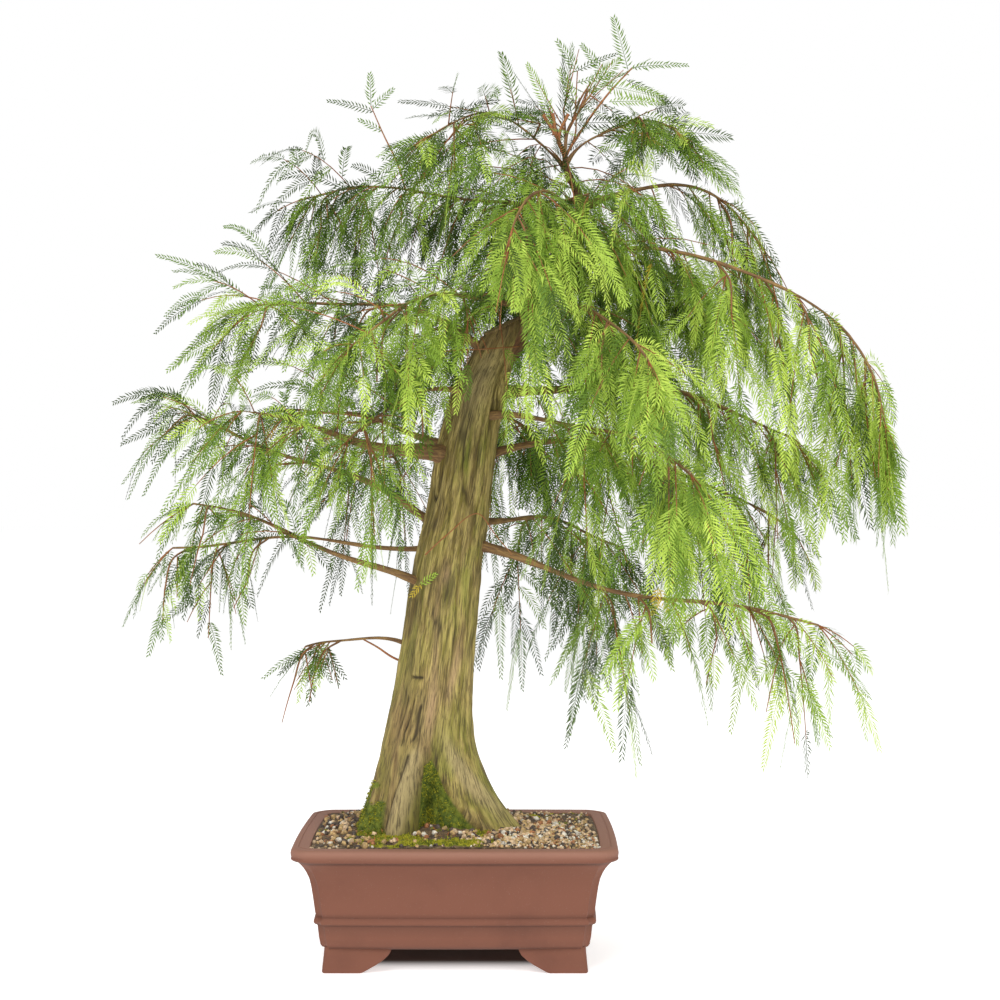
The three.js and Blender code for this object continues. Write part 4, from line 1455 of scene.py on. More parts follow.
class BONSAI_OT_soil(bpy.types.Operator):
    """Model the mounded soil inside the pot"""
    bl_idname = "bonsai.soil"
    bl_label = "Soil"

    def execute(self, context):
        clear_selection()
        across, deep = SOIL_GRID
        bpy.ops.mesh.primitive_grid_add(x_subdivisions=across, y_subdivisions=deep, size=2,
                                        location=to_frame((0, 0, 0)))
        soil = name_piece(bpy.context.object, "soil_bed")
        settle(soil)
        points = read_points(soil) * MM
        x, y = self.to_outline(points[:, 0], points[:, 1])
        height = soil_height(x, y) + soil_relief(x, y) + MOSS_RISE * moss_on_soil(x, y)
        write_points(soil, np.stack([x, y, height], axis=-1))
        edit(soil, "SELECT")
        bpy.ops.mesh.extrude_region_move(TRANSFORM_OT_translate={"value": (0, 0, 0)})
        bpy.ops.transform.resize(value=(1, 1, 0), center_override=to_frame((0, 0, SOIL_BED)))
        close_edit()
        points = read_points(soil)
        store_values(soil, {"moss": moss_on_soil(points[:, 0], points[:, 1])})
        smooth_to(soil, 60)
        dress(soil, soil_material(context.scene.bonsai_soil), ["soil"])
        return {"FINISHED"}

    def to_outline(self, u, v):
        """Points of a square grid, moved to the bowed and rounded outline of the soil"""
        half_length, half_depth = ring_size(SOIL_INSET)
        x = u * half_length * (1 - 0.02 * v ** 8) + bow(u, v)
        y = v * half_depth * (1 - 0.03 * u ** 8) + bow(v, u)
        return x, y


# Scattered stones, moss and litter

STONE_TINTS = (
    ("cream", (0.72, 0.52, 0.32)),
    ("buff", (0.56, 0.38, 0.17)),
    ("rust", (0.4, 0.17, 0.07)),
    ("white", (0.8, 0.74, 0.62)),
    ("dark", (0.1, 0.075, 0.06)),
)
TINT_SHARES = (0.42, 0.72, 0.8, 0.92)  # where the draw passes from one tint to the next
SMALL_STONE = (1.2, 2.4)
LARGE_STONE = (1.6, 4.2)
SMALL_BEYOND = 70  # from the trunk's foot
STONE_STRETCH = (0.65, 1.2)
STONE_LUMPS = 0.16
STONE_SUNK = 0.35  # share of a stone's size that its middle stands above the soil
TUFT_ROUNDS = 3
TUFT_LENGTH = (1.4, 3.4)
TUFT_WIDTH = (0.7, 1.2)
DEAD_NEEDLE_LENGTH = (6, 13)
DEAD_NEEDLES = 760
DEAD_ORANGE = (0.5, 0.17, 0.045)
DEAD_BROWN = (0.3, 0.11, 0.045)
UP = np.array([0.0, 0.0, 1.0])
BLADE = np.array([(0, 1, 2), (3, 2, 1)])
FOLD_AT = 0.45  # share of a blade's length


def trunk_radius(bearing, height, width):
    """Radius of the trunk at a bearing in degrees and a height, without its bark"""
    above = height - TRUNK[0, 0]
    flute = np.sin(np.radians(FLUTES * bearing) + height / FLUTE_TWIST)
    radius = width / 2 * (1 + FLUTE_DEPTH * flute)
    for at, reach, spread, rise in ROOT_RIDGES:
        fall = np.exp(-(np.maximum(above, 0) / rise) ** ROOT_FALL)
        radius = radius + reach * bell_round(bearing, at, spread) * fall
    return radius


def beside_trunk(x, y):
    """Distance out from the trunk's foot"""
    _, middle_x, middle_y, width = TRUNK[0]
    dx, dy = x - middle_x, (y - middle_y) / TRUNK_FLATNESS
    bearing = np.degrees(np.arctan2(dy, dx))
    return np.hypot(dx, dy) - trunk_radius(bearing, TRUNK[0, 0] + 12, width)


def pale_gravel(x, y):
    """How thickly stones lie: most on the right and in front"""
    right = 0.8 * within_one((x + 10) / 60) * np.clip((40 - y) / 80, 0.12, 1)
    left = 0.17 + 0.2 * flat_noise(x, y, 16, 11)
    return np.clip(np.maximum(right, left) - 0.9 * (moss_on_soil(x, y) > 0.55), 0.02, 1)


def round_stone():
    """Points and faces of a ball with a few faces"""
    clear_selection()
    bpy.ops.mesh.primitive_ico_sphere_add(subdivisions=1, radius=1, location=(0, 0, 0))
    ball = bpy.context.object
    points = np.array([vert.co for vert in ball.data.vertices])
    faces = np.array([list(face.vertices) for face in ball.data.polygons])
    bpy.data.objects.remove(ball)
    return points, faces


def random_turns(random, count):
    """Random rotation matrices"""
    w, x, y, z = unit(random.normal(size=(count, 4))).T
    rows = (
        (1 - 2 * (y * y + z * z), 2 * (x * y - z * w), 2 * (x * z + y * w)),
        (2 * (x * y + z * w), 1 - 2 * (x * x + z * z), 2 * (y * z - x * w)),
        (2 * (x * z - y * w), 2 * (y * z + x * w), 1 - 2 * (x * x + y * y)),
    )
    return np.stack([np.stack(row, axis=-1) for row in rows], axis=1)


def scaled(colour, factor):
    return tuple(min(value * factor, 1) for value in colour)


class BONSAI_OT_gravel(bpy.types.Operator):
    """Scatter pale and dark stones over the soil"""
    bl_idname = "bonsai.gravel"
    bl_label = "Gravel"

    def execute(self, context):
        random = seeded("gravel")
        count = context.scene.bonsai_soil.stones * 3
        x, y = soil_places(random, count)
        keep = (beside_trunk(x, y) > 2) & (edge_distance(x, y) > 3)
        keep &= random.uniform(size=count) < pale_gravel(x, y)
        x, y = x[keep], y[keep]
        small, large = random.uniform(*SMALL_STONE, len(x)), random.uniform(*LARGE_STONE, len(x))
        size = np.where(beside_trunk(x, y) > SMALL_BEYOND, small, large)
        points, faces = round_stone()
        turns = random_turns(random, len(x))
        right = within_one((x + 20) / 90)
        pick = random.uniform(size=len(x)) + 0.1 + 0.15 * (1 - right)
        tint = np.searchsorted(np.array(TINT_SHARES), pick)
        batches = [Batch() for _ in STONE_TINTS]
        for i in range(len(x)):
            scale = size[i] * random.uniform(*STONE_STRETCH, 3)
            lumpy = points * (1 + STONE_LUMPS * random.normal(size=(len(points), 1)))
            place = np.array([x[i], y[i], soil_height(x[i], y[i]) + STONE_SUNK * size[i]])
            batches[tint[i]].add(lumpy * scale @ turns[i].T + place, faces)
        for batch, (name, colour) in zip(batches, STONE_TINTS):
            material = mottled_material("stone_" + name, 260.0, scaled(colour, 1.25),
                                        scaled(colour, 0.6), 0.8, relief=0.4)
            dress(batch.piece("gravel_" + name), material)
        return {"FINISHED"}


def blades(root, out, up, length, width, rise):
    """Slips of two faces: root, tip, and two sides between them that are raised to a low fold"""
    across = unit(np.cross(up, out)) * width[:, None] / 2
    middle = root + out * length[:, None] * FOLD_AT + up * rise[:, None]
    tip = root + out * length[:, None]
    points = np.stack([root, middle + across, middle - across, tip], axis=1).reshape(-1, 3)
    faces = (BLADE[None] + 4 * np.arange(len(root))[:, None, None]).reshape(-1, 3)
    return points, faces


def moss_on_bark(bearing, height):
    """How mossy the trunk is, from 0 to 1: in the cleft in front, and low down on the left"""
    above = height - TRUNK[0, 0]
    ragged = 12 * flat_noise(bearing, height, (14, 11), 21)
    inside, deep = recess(bearing, height)
    cleft = inside * within_one((deep - 0.12 + ragged / 90) / 0.15)
    left = bell_round(bearing, 208, 15) * within_one((58 - above + 1.6 * ragged) / 20)
    behind = bell_round(bearing, 110, 40) * within_one((60 - above + ragged) / 26)
    hem = within_one((9 - above + 1.3 * ragged) / 9) * 0.8
    return within_one(np.maximum.reduce([cleft, left * 1.1, behind, hem]))


class BONSAI_OT_moss(bpy.types.Operator):
    """Grow tufts of moss on the soil and low on the trunk"""
    bl_idname = "bonsai.moss"
    bl_label = "Moss"

    def execute(self, context):
        settings = context.scene.bonsai_soil
        random = seeded("moss")
        places = (self.on_soil(random, settings.tufts), self.on_bark(random, settings.tufts))
        root, up = (np.concatenate(rows) for rows in zip(*places))
        dark = noise(root / 16, 31) + 0.5 * random.normal(size=len(root)) > 0.25
        for name, colour, chosen in (("moss_bright", settings.moss, ~dark),
                                     ("moss_deep", settings.deep_moss, dark)):
            piece = self.tufts(name, root[chosen], up[chosen], random)
            material = mottled_material(name, 300.0, colour, scaled(colour, 1.5), 0.85)
            dress(piece, material)
        return {"FINISHED"}

    def on_soil(self, random, count):
        x, y = soil_places(random, count * 4)
        keep = (beside_trunk(x, y) > -2) & (edge_distance(x, y) > 4)
        keep &= random.uniform(0.3, 1, size=count * 4) < moss_on_soil(x, y)
        x, y = x[keep], y[keep]
        root = np.stack([x, y, soil_height(x, y) + soil_relief(x, y) + 0.6], axis=-1)
        return root, np.broadcast_to(UP, root.shape)

    def on_bark(self, random, count):
        bearing = random.uniform(0, 360, count * 2)
        height = TRUNK[0, 0] + random.uniform(0, 120, count * 2)
        keep = random.uniform(0.25, 1, size=count * 2) < moss_on_bark(bearing, height)
        bearing, height = bearing[keep], height[keep]
        shaped = hollows(bearing, height)
        root = trunk_point(bearing, height, shaped - 0.3)
        outer = trunk_point(bearing, height, shaped + 4)
        return root, unit(outer - root + 2.5 * UP)

    def tufts(self, name, root, up, random):
        batch = Batch()
        for _ in range(TUFT_ROUNDS):
            lean = unit(up + 0.55 * random.normal(size=root.shape))
            length = random.uniform(*TUFT_LENGTH, len(root))
            face = unit(np.cross(lean, random.normal(size=root.shape)))
            shift = root + 0.6 * random.normal(size=root.shape) * [1, 1, 0.2]
            width = random.uniform(*TUFT_WIDTH, len(root))
            batch.add(*blades(shift, lean, face, length, width, 0.25 * width))
        return batch.piece(name)


class BONSAI_OT_litter(bpy.types.Operator):
    """Scatter a few dead orange needles over the soil and the moss"""
    bl_idname = "bonsai.litter"
    bl_label = "Litter"

    def execute(self, context):
        random = seeded("litter")
        x = random.uniform(-150, 150, DEAD_NEEDLES)
        y = random.uniform(-98, 60, DEAD_NEEDLES)
        keep = beside_trunk(x, y) > 1
        thick = 0.35 + 0.65 * bell(x, 30, 45) + 0.4 * bell(x, -110, 30)
        keep &= random.uniform(size=DEAD_NEEDLES) < thick
        x, y = x[keep], y[keep]
        root = np.stack([x, y, soil_height(x, y) + 2.4], axis=-1)
        turn = random.uniform(0, 2 * math.pi, len(x))
        out = unit(np.stack([np.cos(turn), np.sin(turn), random.normal(0, 0.22, len(x))], axis=-1))
        up = unit(UP - out * out[:, 2:])
        length = random.uniform(*DEAD_NEEDLE_LENGTH, len(x))
        points, faces = blades(root, out, up, length, np.ones(len(x)), 0.1 * length)
        piece = mesh_piece("dead_needles", points, faces)
        dress(piece, mottled_material("dead_needles", 90.0, DEAD_ORANGE, DEAD_BROWN, 0.7))
        return {"FINISHED"}


# Trunk

TRUNK_AROUND = 240
TRUNK_CUTS = 17  # made twice along the trunk
SMOOTHING = 14
GRAIN_GIRTH = 0.58  # radius round which the bark's grain is laid, in widths of the trunk
CUT_INSETS = (0.06, 0.09, 0.12, 0.15, 0.18, 0.2)  # of the rings on the face of the cut
RECESS_TOP = 243
RECESS_RISE = 90
CRACKS = (
    # height and bearing of the points along each crack
    ((244, 238), (249, 242.3), (258, 238.7), (268, 243.4), (287, 246.8), (301, 247.7)),
    ((247, 251.3), (258, 257), (281, 256.3), (293, 258.2)),
    ((262, 231), (285, 234.8), (303, 236.2)),
    ((150, 234), (180, 238), (214, 247), (238, 252)),
)
SCAR = (322, 234, 257)  # height, and the bearings between which it runs
# Layers of noise in bark: size across and along the grain, and height
TRUNK_LAYERS = ((3.1, 24, 0.8), (5.5, 52, 1.1), (14, 105, 1.3), (7, 12, 0.4))
LIMB_LAYERS = ((1.6, 16, 0.45), (5, 7, 0.5), (9, 30, 0.9))
# Patches on the trunk: strength or height, bearing and spread, height and spread
DENTS = (
    (-5.5, 222, 15, 628, 52),
    (-3.5, 322, 9, 674, 46),
    (2.2, 262, 6, 440, 7),
    (-1.6, 243, 13, 320, 2.6),
    (4, 210, 22, 572, 20),
    (4, 350, 20, 646, 20),
)
PINK_PATCHES = ((0.8, 272, 7, 280, 30), (0.7, 272, 5, 438, 9))
GREEN_PATCHES = ((1, 286, 20, 578, 40), (0.7, 300, 35, 426, 70), (0.6, 215, 25, 366, 90))
CRACK_DEPTH = 2.6
OLD_CRACK_DEPTH = 3.4
HOLLOW_DEPTH = 15
ROOT_SWELL = (6.5, 3.5)
CUT_ROUNDING = 3.5
DULL_BARK = (0.12, 0.085, 0.035)
BARK_MOSS = ((0.22, 0.26, 0.025), (0.07, 0.11, 0.012))
LEADER_BARK = (0.24, 0.105, 0.05)
LEADER_SIDES = 22
LEADER_FLARE = (3, 26, 22)  # width, the distance that it holds for, and its length from there


def trunk_row(height):
    """Centre across, centre in depth and width at each height, eased between the table's rows"""
    columns = []
    for column in (1, 2, 3):
        low, here, high = (np.interp(height + step, TRUNK[:, 0], TRUNK[:, column])
                           for step in (-SMOOTHING, 0, SMOOTHING))
        columns.append((low + 2 * here + high) / 4)
    return columns


def trunk_point(bearing, height, out=0.0):
    """Points on the trunk's surface, or that far out from it"""
    x, y, width = trunk_row(height)
    radius = trunk_radius(bearing, height, width) + out
    angle = np.radians(bearing)
    return np.stack([x + radius * np.cos(angle), y + radius * np.sin(angle) * TRUNK_FLATNESS,
                     height], axis=-1)


def patches(table, bearing, height):
    return sum(strength * bell_round(bearing, at, wide) * bell(height, up, tall)
               for strength, at, wide, up, tall in table)


def layered(points, layers, seed):
    """Layers of noise along the grain, with a seed of its own for each"""
    return sum(rise * noise(points / [across, across, along], seed + number)
               for number, (across, along, rise) in enumerate(layers))


def recess(bearing, height):
    """The hollow between the front roots, an upturned V: what is in it, and how far down it is"""
    deep = np.clip((RECESS_TOP - height) / RECESS_RISE, 0, 1.2)
    left, right = 272 - 10 * np.sqrt(deep), 281 + 40 * deep
    inside = within_one((bearing - left) / 4) * within_one((right - bearing) / 7)
    return inside * np.minimum(1, deep * 6), deep


def root_ridges(bearing, height):
    """The smooth root in front on the left, and the one that runs down to the right"""
    deep = np.clip((RECESS_TOP + 8 - height) / RECESS_RISE, 0, 1.2)
    left = bell_round(bearing, 262 - 16 * deep, 6.5) * within_one(deep * 4)
    course = 303 + 35 * np.clip((RECESS_TOP - height) / 72, -0.5, 1)
    right = bell_round(bearing, course, 8) * bell(height, 205, 34)
    return left, right


def old_cracks(bearing, height):
    """Cracks between the plates of bark low on the left, and a short level scar, from 0 to 1"""
    across, start, end = SCAR
    found = bell(height, across, 1.5) * within_one((bearing - start) / 3)
    found = found * within_one((end - bearing) / 3)
    for line in CRACKS:
        heights, bearings = np.array(line).T
        held = within_one((height - heights[0]) / 5) * within_one((heights[-1] - height) / 5)
        middle = np.interp(height, heights, bearings)
        found = np.maximum(found, bell_round(bearing, middle, 1.25) * held)
    return found


def smooth_bark(bearing, height):
    """Where the bark has worn smooth: the front roots, and the front below the cut"""
    left, right = root_ridges(bearing, height)
    top = bell_round(bearing, 262, 30) * bell(height, 661, 42)
    return within_one(1.3 * left + 1.2 * right + 0.8 * top)


def lower_left(bearing, height):
    return bell_round(bearing, 232, 26) * bell(height, 251, 70)


def bark_relief(bearing, height, radius):
    """Height of the bark in millimetres: fibres, strips, plates and cracks along the grain"""
    angle = np.radians(bearing + 7 * np.sin(height / 120) + height / 40)
    grain = np.stack([radius * np.cos(angle), radius * np.sin(angle), height], axis=-1)
    sway = noise(grain / [26, 26, 90], 1)
    moved = grain + np.stack([3 * sway, -3 * sway, 0 * sway], axis=-1)
    crack_line = noise(moved / [9, 9, 70], 6)
    cracked = noise(grain / [34, 34, 90], 7) + 0.25 + 0.5 * lower_left(bearing, height)
    crack = np.exp(-(crack_line / 0.1) ** 2) * within_one(cracked)
    rough = 1 - 0.75 * smooth_bark(bearing, height)
    relief = rough * (layered(moved, TRUNK_LAYERS, 2) - CRACK_DEPTH * crack)
    return relief - OLD_CRACK_DEPTH * old_cracks(bearing, height)


def hollows(bearing, height):
    """Broad dents and swellings that break the round of the trunk"""
    inside, deep = recess(bearing, height)
    already = 1 - 0.8 * bell_round(bearing, 280, 14)
    hollow = -HOLLOW_DEPTH * deep ** 0.6 * inside * already
    left, right = root_ridges(bearing, height)
    roots = ROOT_SWELL[0] * left + ROOT_SWELL[1] * right
    return patches(DENTS, bearing, height) + hollow + roots


def pink_strip(bearing, height):
    """Bare strips where the outer bark has come off"""
    winding = (0.4, 268 + 6 * np.sin(height / 38), 4, 371, 50)
    slanted = (0.8, 300 + (height - 306) / 9, 5, 324, 26)
    return within_one(patches((winding, slanted, *PINK_PATCHES), bearing, height))


def green_film(bearing, height):
    return within_one(patches(GREEN_PATCHES, bearing, height) + 0.7 * bell(height, 206, 60))


def bark_material(settings):
    bark = Finish("trunk_bark", settings.fibre, Roughness=0.85)
    grain = bark.carried("grain", "Vector")
    relief = bark.carried("relief")
    broad = bark.streaks(grain, Across=0.16, Along=0.018, Detail=5.0)
    fine = bark.streaks(grain, Across=0.75, Along=0.045, Detail=5.0)
    patch = bark.streaks(grain, Across=0.04, Along=0.014, Detail=4.0)
    bark.coat(bark.range(broad, 0.38, 0.62), settings.ridge)
    bark.coat(bark.range(patch, 0.48, 0.66, 0.0, 0.38), DULL_BARK)
    film = node(bark.tree, "ShaderNodeMath", bark.range(patch, 0.62, 0.4), bark.carried("film"),
                operation="MULTIPLY")
    bark.coat(film.outputs[0], settings.olive)
    bark.coat(bark.range(bark.carried("plates"), 0.0, 1.0, 0.0, 0.6), settings.plate)
    bark.coat(bark.range(bark.carried("worn"), 0.0, 1.0, 0.0, 0.75), settings.worn)
    bark.coat(bark.carried("bare"), settings.bare)
    bark.coat(bark.range(fine, 0.34, 0.56, 0.75, 0.0), settings.furrow)
    # Partly painted shade: darker where the relief lies low, the dark brown of the furrows and
    # cracks with painted shade in them
    bark.coat(bark.range(relief, -2.9, 0.1, 0.9, 0.0), settings.furrow)
    # Partly painted highlight: lighter where the relief stands high, the pale tan of the strips
    # with a painted highlight on them
    bark.coat(bark.range(relief, 0.8, 2.6, 0.0, 0.55), settings.ridge)
    green = bark.mottle(*BARK_MOSS, Scale=150.0)["Color"]
    bark.coat(bark.range(bark.carried("moss"), 0.3, 0.65), green)
    return bark.finished(fine, 0.9, 0.002)


def cut_height(x, y):
    """Height of the slanted cut at a place"""
    return (CUT_CENTRE[2] + CUT_SLOPE_ACROSS * (x - CUT_CENTRE[0])
            + CUT_SLOPE_BACK * (y - CUT_CENTRE[1]))


def cut_top(bearing):
    """Height of the edge of the cut at a bearing"""
    edge = trunk_point(bearing, np.full_like(bearing, CUT_CENTRE[2]))
    return cut_height(edge[:, 0], edge[:, 1])


def cut_face(bearing, reach):
    """The weathered face of the cut: a rolled edge round a slight hollow"""
    rim = trunk_point(bearing, cut_top(bearing))
    x, y, _ = trunk_row(CUT_CENTRE[2])
    middle = np.array([x, y, cut_height(x, y)])
    points = middle + (rim - middle) * reach[:, None]
    roll = 1.6 * bell(reach, 0.86, 0.1) - 2.2 * within_one(1 - reach / 0.75)
    points[:, 2] += roll + 0.5 * noise(points / 4, 41) - 2.5 * within_one((reach - 0.92) / 0.08)
    return points


def trunk_column():
    """A cylinder cut into many rows and shaped into the trunk, with its bark's relief"""
    clear_selection()
    bpy.ops.mesh.primitive_cylinder_add(vertices=TRUNK_AROUND, radius=1, depth=1,
                                        location=(0, 0, 0.5))
    trunk = bpy.context.object
    settle(trunk)
    edit(trunk)
    select_where(trunk, "faces", lambda face: len(face.verts) > 4
                 and face.calc_center_median().z > 0.9)
    for thickness in CUT_INSETS:
        bpy.ops.mesh.inset(thickness=thickness, depth=0, use_boundary=True, use_even_offset=True)
    for _ in range(2):
        select_where(trunk, "edges",
                     lambda edge: abs(edge.verts[0].co.z - edge.verts[1].co.z) > 1e-4)
        bpy.ops.mesh.subdivide(number_cuts=TRUNK_CUTS)
    bpy.ops.object.mode_set(mode="OBJECT")
    shape_trunk(trunk, np.array([vert.co for vert in trunk.data.vertices]))
    return trunk


def shape_trunk(trunk, points):
    bearing = np.degrees(np.arctan2(points[:, 1], points[:, 0])) % 360
    reach = np.hypot(points[:, 0], points[:, 1])
    share = points[:, 2]
    foot_height = TRUNK[0, 0]
    height = foot_height + (cut_top(bearing) - foot_height) * share
    width = trunk_row(height)[2]
    relief = bark_relief(bearing, height, GRAIN_GIRTH * width)
    rounding = CUT_ROUNDING * within_one((share - 0.985) / 0.015) ** 2
    shaped = trunk_point(bearing, height, hollows(bearing, height) + relief - rounding)
    on_cut = (share > 0.9999) & (reach < 0.999)
    shaped[on_cut] = cut_face(bearing[on_cut], reach[on_cut])
    write_points(trunk, shaped)
    by_cut = within_one((share - 0.95) / 0.02)
    angle = np.radians(bearing)
    store_values(trunk, {
        "grain": np.stack([GRAIN_GIRTH * width * np.cos(angle),
                           GRAIN_GIRTH * width * np.sin(angle), height], axis=-1),
        "relief": np.where(on_cut, -0.3, relief),
        "moss": np.where(share > 0.9, 0, moss_on_bark(bearing, height)),
        "bare": np.where(on_cut, 0.3, pink_strip(bearing, height)),
        "film": green_film(bearing, height),
        "worn": np.where(on_cut, 0, smooth_bark(bearing, height) * (1 - by_cut)),
        "plates": np.maximum(lower_left(bearing, height), by_cut),
    })


def limb_relief(depth, seed):
    """Relief of a limb's bark, for points round and along it"""
    return lambda around: depth * layered(around, LIMB_LAYERS, seed)


def leader_wood():
    """The live leader, flared where it leaves the old trunk"""
    route = smooth_route(LEADER[:, :3], 3)
    gone = distances_along(route)
    radii = np.interp(gone, distances_along(LEADER[:, :3]), LEADER[:, 3]) / 2
    flare, held, length = LEADER_FLARE
    radii = radii + flare * np.exp(-np.maximum(gone - held, 0) / length)
    batch = Batch()
    batch.add_tube(route, radii, LEADER_SIDES, limb_relief(0.7, 51))
    return batch.piece("leader_wood", smooth=True)


class BONSAI_OT_trunk(bpy.types.Operator):
    """Model the flared trunk with its furrowed bark, old cut and live leader"""
    bl_idname = "bonsai.trunk"
    bl_label = "Trunk"

    def execute(self, context):
        settings = context.scene.bonsai_bark
        trunk = name_piece(trunk_column(), "trunk_wood")
        choose(trunk)
        bpy.ops.object.shade_smooth()
        dress(trunk, bark_material(settings), ["trunk"])
        leader_bark = limb_material("leader_bark", LEADER_BARK, settings.limb)
        dress(leader_wood(), leader_bark, ["trunk"])
        return {"FINISHED"}


# Limbs

LIMB_SIDES = 16
LIMB_SPACING = 3.5
LIMB_BARK = (0.34, 0.2, 0.065)
LIMB_FURROW = (0.05, 0.03, 0.018)
# Colour of the painted highlight on the raised bark of the boughs and the leader
LIMB_HIGHLIGHT = (0.46, 0.3, 0.12)


def limb_material(name, light, dark):
    bark = Finish(name, dark, Roughness=0.8)
    grain = bark.carried("grain", "Vector")
    broad = bark.streaks(grain, Across=0.3, Along=0.05, Detail=3.0)
    fine = bark.streaks(grain, Across=1.2, Along=0.1, Detail=3.0)
    bark.coat(bark.range(broad, 0.35, 0.65), light)
    bark.coat(bark.range(fine, 0.3, 0.6, 0.6, 0.0), LIMB_FURROW)
    # Painted highlight: lighter where the bark's relief stands high
    bark.coat(bark.range(bark.carried("relief"), 0.1, 0.8, 0.0, 0.5), LIMB_HIGHLIGHT)
    return bark.finished(fine, 0.5, 0.0008)


def limb_radii(limb, gone):
    """Radius along a limb, from the middle of the wood to the tip of its mass"""
    start = max(limb.girth * STEM_START_GIRTH, STEM_TIP_GIRTH) / 2
    share = within_one((gone - limb.bare) / (limb.reach - limb.bare))
    stem = start + (STEM_TIP_GIRTH / 2 - start) * share
    if limb.bare == 0:
        return stem
    return np.where(gone < limb.bare, bough_radius(limb, np.minimum(gone, limb.bare)), stem)


class BONSAI_OT_limbs(bpy.types.Operator):
    """Grow the boughs and the stems of the foliage with their bark"""
    bl_idname = "bonsai.limbs"
    bl_label = "Limbs"

    def execute(self, context):
        crown = Crown()
        batch = Batch()
        for limb in crown.limbs:
            route = smooth_route(limb.route, LIMB_SPACING)
            gone = distances_along(route)
            radii = limb_radii(limb, gone * limb.reach / gone[-1])
            radii = radii * (1 + 0.1 * flat_noise(gone, 0 * gone, 14, limb.index))
            relief = limb_relief(0.03 * limb.girth + 0.1, limb.index * 5)
            batch.add_tube(route, radii, LIMB_SIDES, relief)
        material = limb_material("limb_bark", LIMB_BARK, context.scene.bonsai_bark.limb)
        nodes = [f"bough_{limb.name}" for limb in crown.limbs if limb.bare > 0]
        dress(batch.piece("limbs_wood", smooth=True), material, nodes)
        return {"FINISHED"}


# Foliage

# Needle tints from light to dark: the lighter ones are painted light in front, on the right and
# outside, the darker ones painted shade within, high up and low down
TINTS = ("lime", "bright", "leaf", "deep", "shade")
GOLD_SHARE = 0.001
TWIG_SHARES = np.linspace(0, 1, 6)
SHOOT_STEPS = 6
SHOOT_SIDES = 4
LIMB_NAMES = [row[0] for row in LIMBS]
FRONT_OPEN_BELOW = 598  # height under which foliage leaves the front of the trunk open
FRONT_THIN_BELOW = 738  # and that under which little of it hangs there, all on the left
FRONT_THIN_SHARE = 0.3
LEFT_OF_TRUNK = -60  # across, from where feathers hang less low
LEAST_BEND = 0.75
CROWN_HALF_DEPTH = 220
SIDE_SHOOT_TURN = (14, 40)
STEM_SHOOT_LEAN = (25, 75)
STEM_SHOOT_RISE = (60, 110)
INNER_LEAN = (30, 80)
INNER_START = 8  # past the surface of the trunk
SHORT_SHOOT = FEATHERS_PER_SHOOT - 2
STEM_SHOOT = FEATHERS_PER_SHOOT - 3
FEATHER_LEAN = (52, 12)  # middle and spread of a draw, in degrees
FEATHER_SIZE = (0.9, 1.08)  # range of the needles, about their length at the place
STEM_START = 10  # along a stem or a twig, to its first feather
TWIG_START = 8
INNER_TWIG_START = 4
SAG_RANGE = (0.35, 1.25)
FEATHER_POINTS = np.array([0.35, 0.7, 1.0])  # shares of a feather where its room is tested
FEWEST_PAIRS = 5
NEEDLE_SPREAD = (64, 30)  # degrees off the rachis at its root, and how much less at its tip
NEEDLE_RANGE = (0.85, 1.08)
STEM_STEP = 6  # between the points of a stem or a twig
TWIG_SIDES = 6
SPRIG_STEP = 5
SPRIG_SAG = 0.12
FACE_RISE = 90
INNER_FEATHER_SPACING = 15
INNER_TIP = (60, 95)  # range of the feather that ends a twig
GOLDEN_TURN = 137.5  # from each twig of the leader to the next
SPACE_OF_FEATHER = 600  # triangles kept free for the last feather of a piece
# Single feathers: tint, root, tip, share of the longest needle
SPRIGS = (
    ("deep", (200, 15, 1030), (184, 14, 1091), 0.75),
    ("deep", (205, 15, 1032), (270, 8, 1037), 0.45),
    ("shade", (199, 15, 1017), (252, 6, 989), 0.45),
    ("leaf", (178, 15, 992), (243, 20, 994), 0.5),
    ("deep", (183, 15, 1006), (148, 20, 1062), 0.6),
    ("deep", (141, 18, 1027), (118, 18, 1065), 0.6),
    ("shade", (141, 18, 1029), (187, 22, 1052), 0.4),
    ("leaf", (112, 16, 970), (84, 14, 1037), 0.6),
    ("deep", (141, 18, 1015), (200, 20, 1029), 0.4),
    ("leaf", (139, 18, 990), (120, 10, 1030), 0.6),
    ("bright", (-41, -32, 427), (-22, -38, 440), 0.4),
    ("gold", (-41, -32, 428), (-51, -38, 413), 0.4),
    ("gold", (229, -62, 426), (223, -66, 396), 0.5),
    ("gold", (230, -62, 424), (238, -67, 400), 0.5),
    ("deep", (-103, 36, 992), (-104, 34, 1030), 0.5),
    ("deep", (-101, 37, 988), (-76, 34, 1012), 0.45),
    ("shade", (-100, 37, 985), (-154, 34, 1000), 0.45),
    ("deep", (-90, 38, 962), (-118, 34, 975), 0.4),
)
